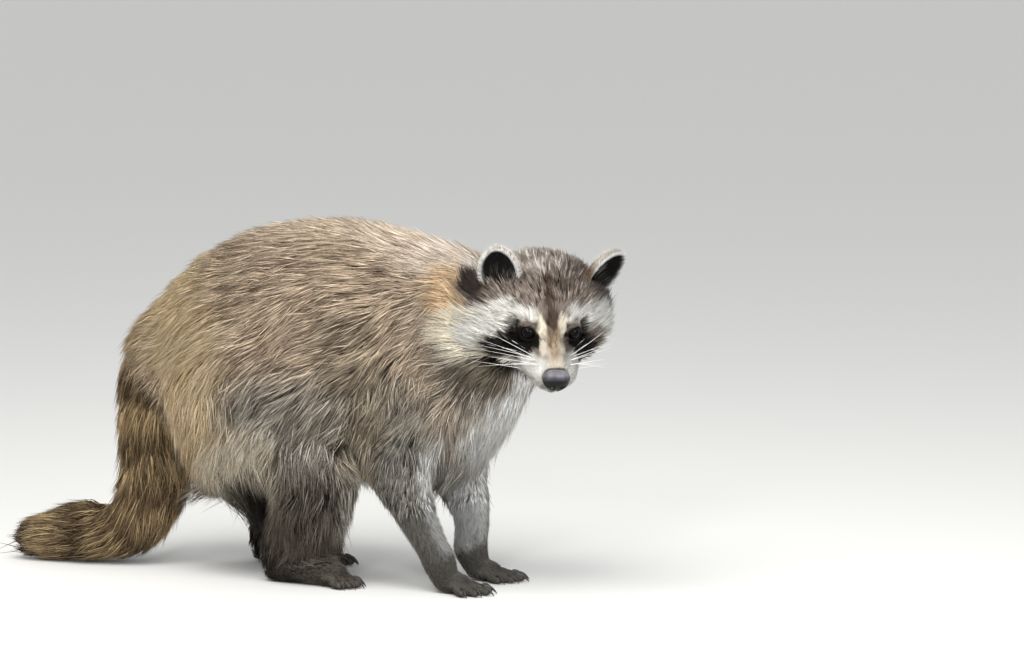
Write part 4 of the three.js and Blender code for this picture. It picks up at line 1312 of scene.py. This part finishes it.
# ---------------------------------------------------------------- the whiskers
# Long stiff white bristles in three rows on each whisker pad, with a few over each eye. Each is rooted in the
# hide, springs outward and back, and bends a little down to a hair-thin tip.
WHISKER_STEPS = 9
WHISKER_ROUND = 4
WHISKER_THICK = 0.24
PAD_ROWS = 3
bristles = []
for s in (-1, 1):
    for row in range(PAD_ROWS):
        for n in range(4):
            root = (31 - 6.5 * n - row, s * (10 + 2 * n), -17 - 3.6 * row)
            heading = (0.25 - 0.28 * n, s * 1.0, 0.42 - 0.24 * row)
            bristles.append((root, heading, 50 + 11 * n - 6 * row, (-0.36, s * -0.1, -0.3)))
    for n in range(3):
        root = (-4, s * (14 + 4 * n), 13 + n)
        bristles.append((root, (0.1, s * (0.5 + 0.2 * n), 0.9), 17 + 4 * n, (-0.3, 0, 0)))
whisker_points, whisker_faces = [], []
share = np.arange(WHISKER_STEPS)[:, None] / (WHISKER_STEPS - 1)
for n, (root, heading, reach, bend) in enumerate(bristles):
    root = onto(hide_reach, on_head(root)[None], steps=6)[0]
    heading = np.array(heading) + RNG.normal(size=3) * 0.07
    heading = HEAD_TURN @ (heading / np.linalg.norm(heading))
    reach = reach * (0.85 + 0.3 * RNG.random())
    aside = np.cross(heading, [0, 0, 1])
    aside /= np.linalg.norm(aside)
    spots = root + reach * (heading * (share - 0.02) + HEAD_TURN @ bend * share ** 2)
    thin = WHISKER_THICK * (1 - 0.85 * share[:, 0])
    points, quads = tube(spots, thin, aside, np.cross(aside, heading), WHISKER_ROUND)
    whisker_points.append(points)
    whisker_faces.append(n * len(points) + quads[:, [0, 3, 2, 1]])
whiskers = mesh_object("whiskers", np.concatenate(whisker_points), [np.concatenate(whisker_faces)])
bristle, _, _ = new_material("white bristle", 0.35, "#f2efe8", IOR=1.55)
whiskers.data.materials.append(bristle)
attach(whiskers, "root")

# ---------------------------------------------------------------- floor, light and camera
# A wide sheet of pale paper under even studio light: a soft white sky all round, one large soft box above and
# in front, a weaker one by the face, and a small one that puts the catchlight in the eyes.
FLOOR_RADIUS = 80.0
scene = bpy.context.scene
bpy.ops.mesh.primitive_circle_add(vertices=128, radius=FLOOR_RADIUS, fill_type="NGON")
floor = bpy.context.object
floor.name = "floor"
paper, _, _ = new_material("pale floor", 0.9, "#d8d6d1")
floor.data.materials.append(paper)

scene.world = bpy.data.worlds.new("studio")
scene.world.use_nodes = True
sky = scene.world.node_tree.nodes["Background"]
sky.inputs["Color"].default_value = (*linear("#f2f5f8"), 1)
sky.inputs["Strength"].default_value = 0.88
scene.view_settings.view_transform = "Standard"


def soft_box(name, place, target, width, watts, code):
    """A square soft light aimed at a place on the animal."""
    lamp = bpy.data.lights.new(name, "AREA")
    lamp.size, lamp.energy, lamp.color = width, watts, linear(code)
    made = bpy.data.objects.new(name, lamp)
    scene.collection.objects.link(made)
    made.location = place
    made.rotation_euler = Vector(np.subtract(target, place)).to_track_quat("-Z", "Y").to_euler()


soft_box("key", (0.2, -1.1, 2.0), (0, 0, 0.2), 1.5, 46, "#ffffff")
soft_box("fill", (1.9, -0.9, 0.7), (0, 0, 0.2), 0.7, 15, "#f4f8ff")
soft_box("catchlight", (0.83, -2.16, 1.23), (0.26, -0.05, 0.25), 0.36, 18, "#f6f9ff")

CAMERA_TURN = 27
CAMERA_RISE = 6
CAMERA_DISTANCE = 4500
CENTRE_RIGHT = 171.08
CENTRE_UP = 225.13
PICTURE_WIDTH = 1024 * 0.94
SENSOR = 36.0
turn, rise = math.radians(CAMERA_TURN), math.radians(CAMERA_RISE)
right = np.array([math.cos(turn), math.sin(turn), 0])
back = np.array([math.sin(turn) * math.cos(rise), -math.cos(turn) * math.cos(rise), math.sin(rise)])
up = np.cross(back, right)
camera = bpy.data.objects.new("camera", bpy.data.cameras.new("camera"))
camera.data.sensor_width = SENSOR
camera.data.lens = SENSOR * CAMERA_DISTANCE / PICTURE_WIDTH
camera.data.clip_end = 100
placed = Matrix(np.stack([right, up, back], 1).tolist()).to_4x4()
placed.translation = (right * CENTRE_RIGHT + up * CENTRE_UP + back * CAMERA_DISTANCE + ORIGIN_SHIFT) * MM
camera.matrix_world = placed
scene.collection.objects.link(camera)
scene.camera = camera
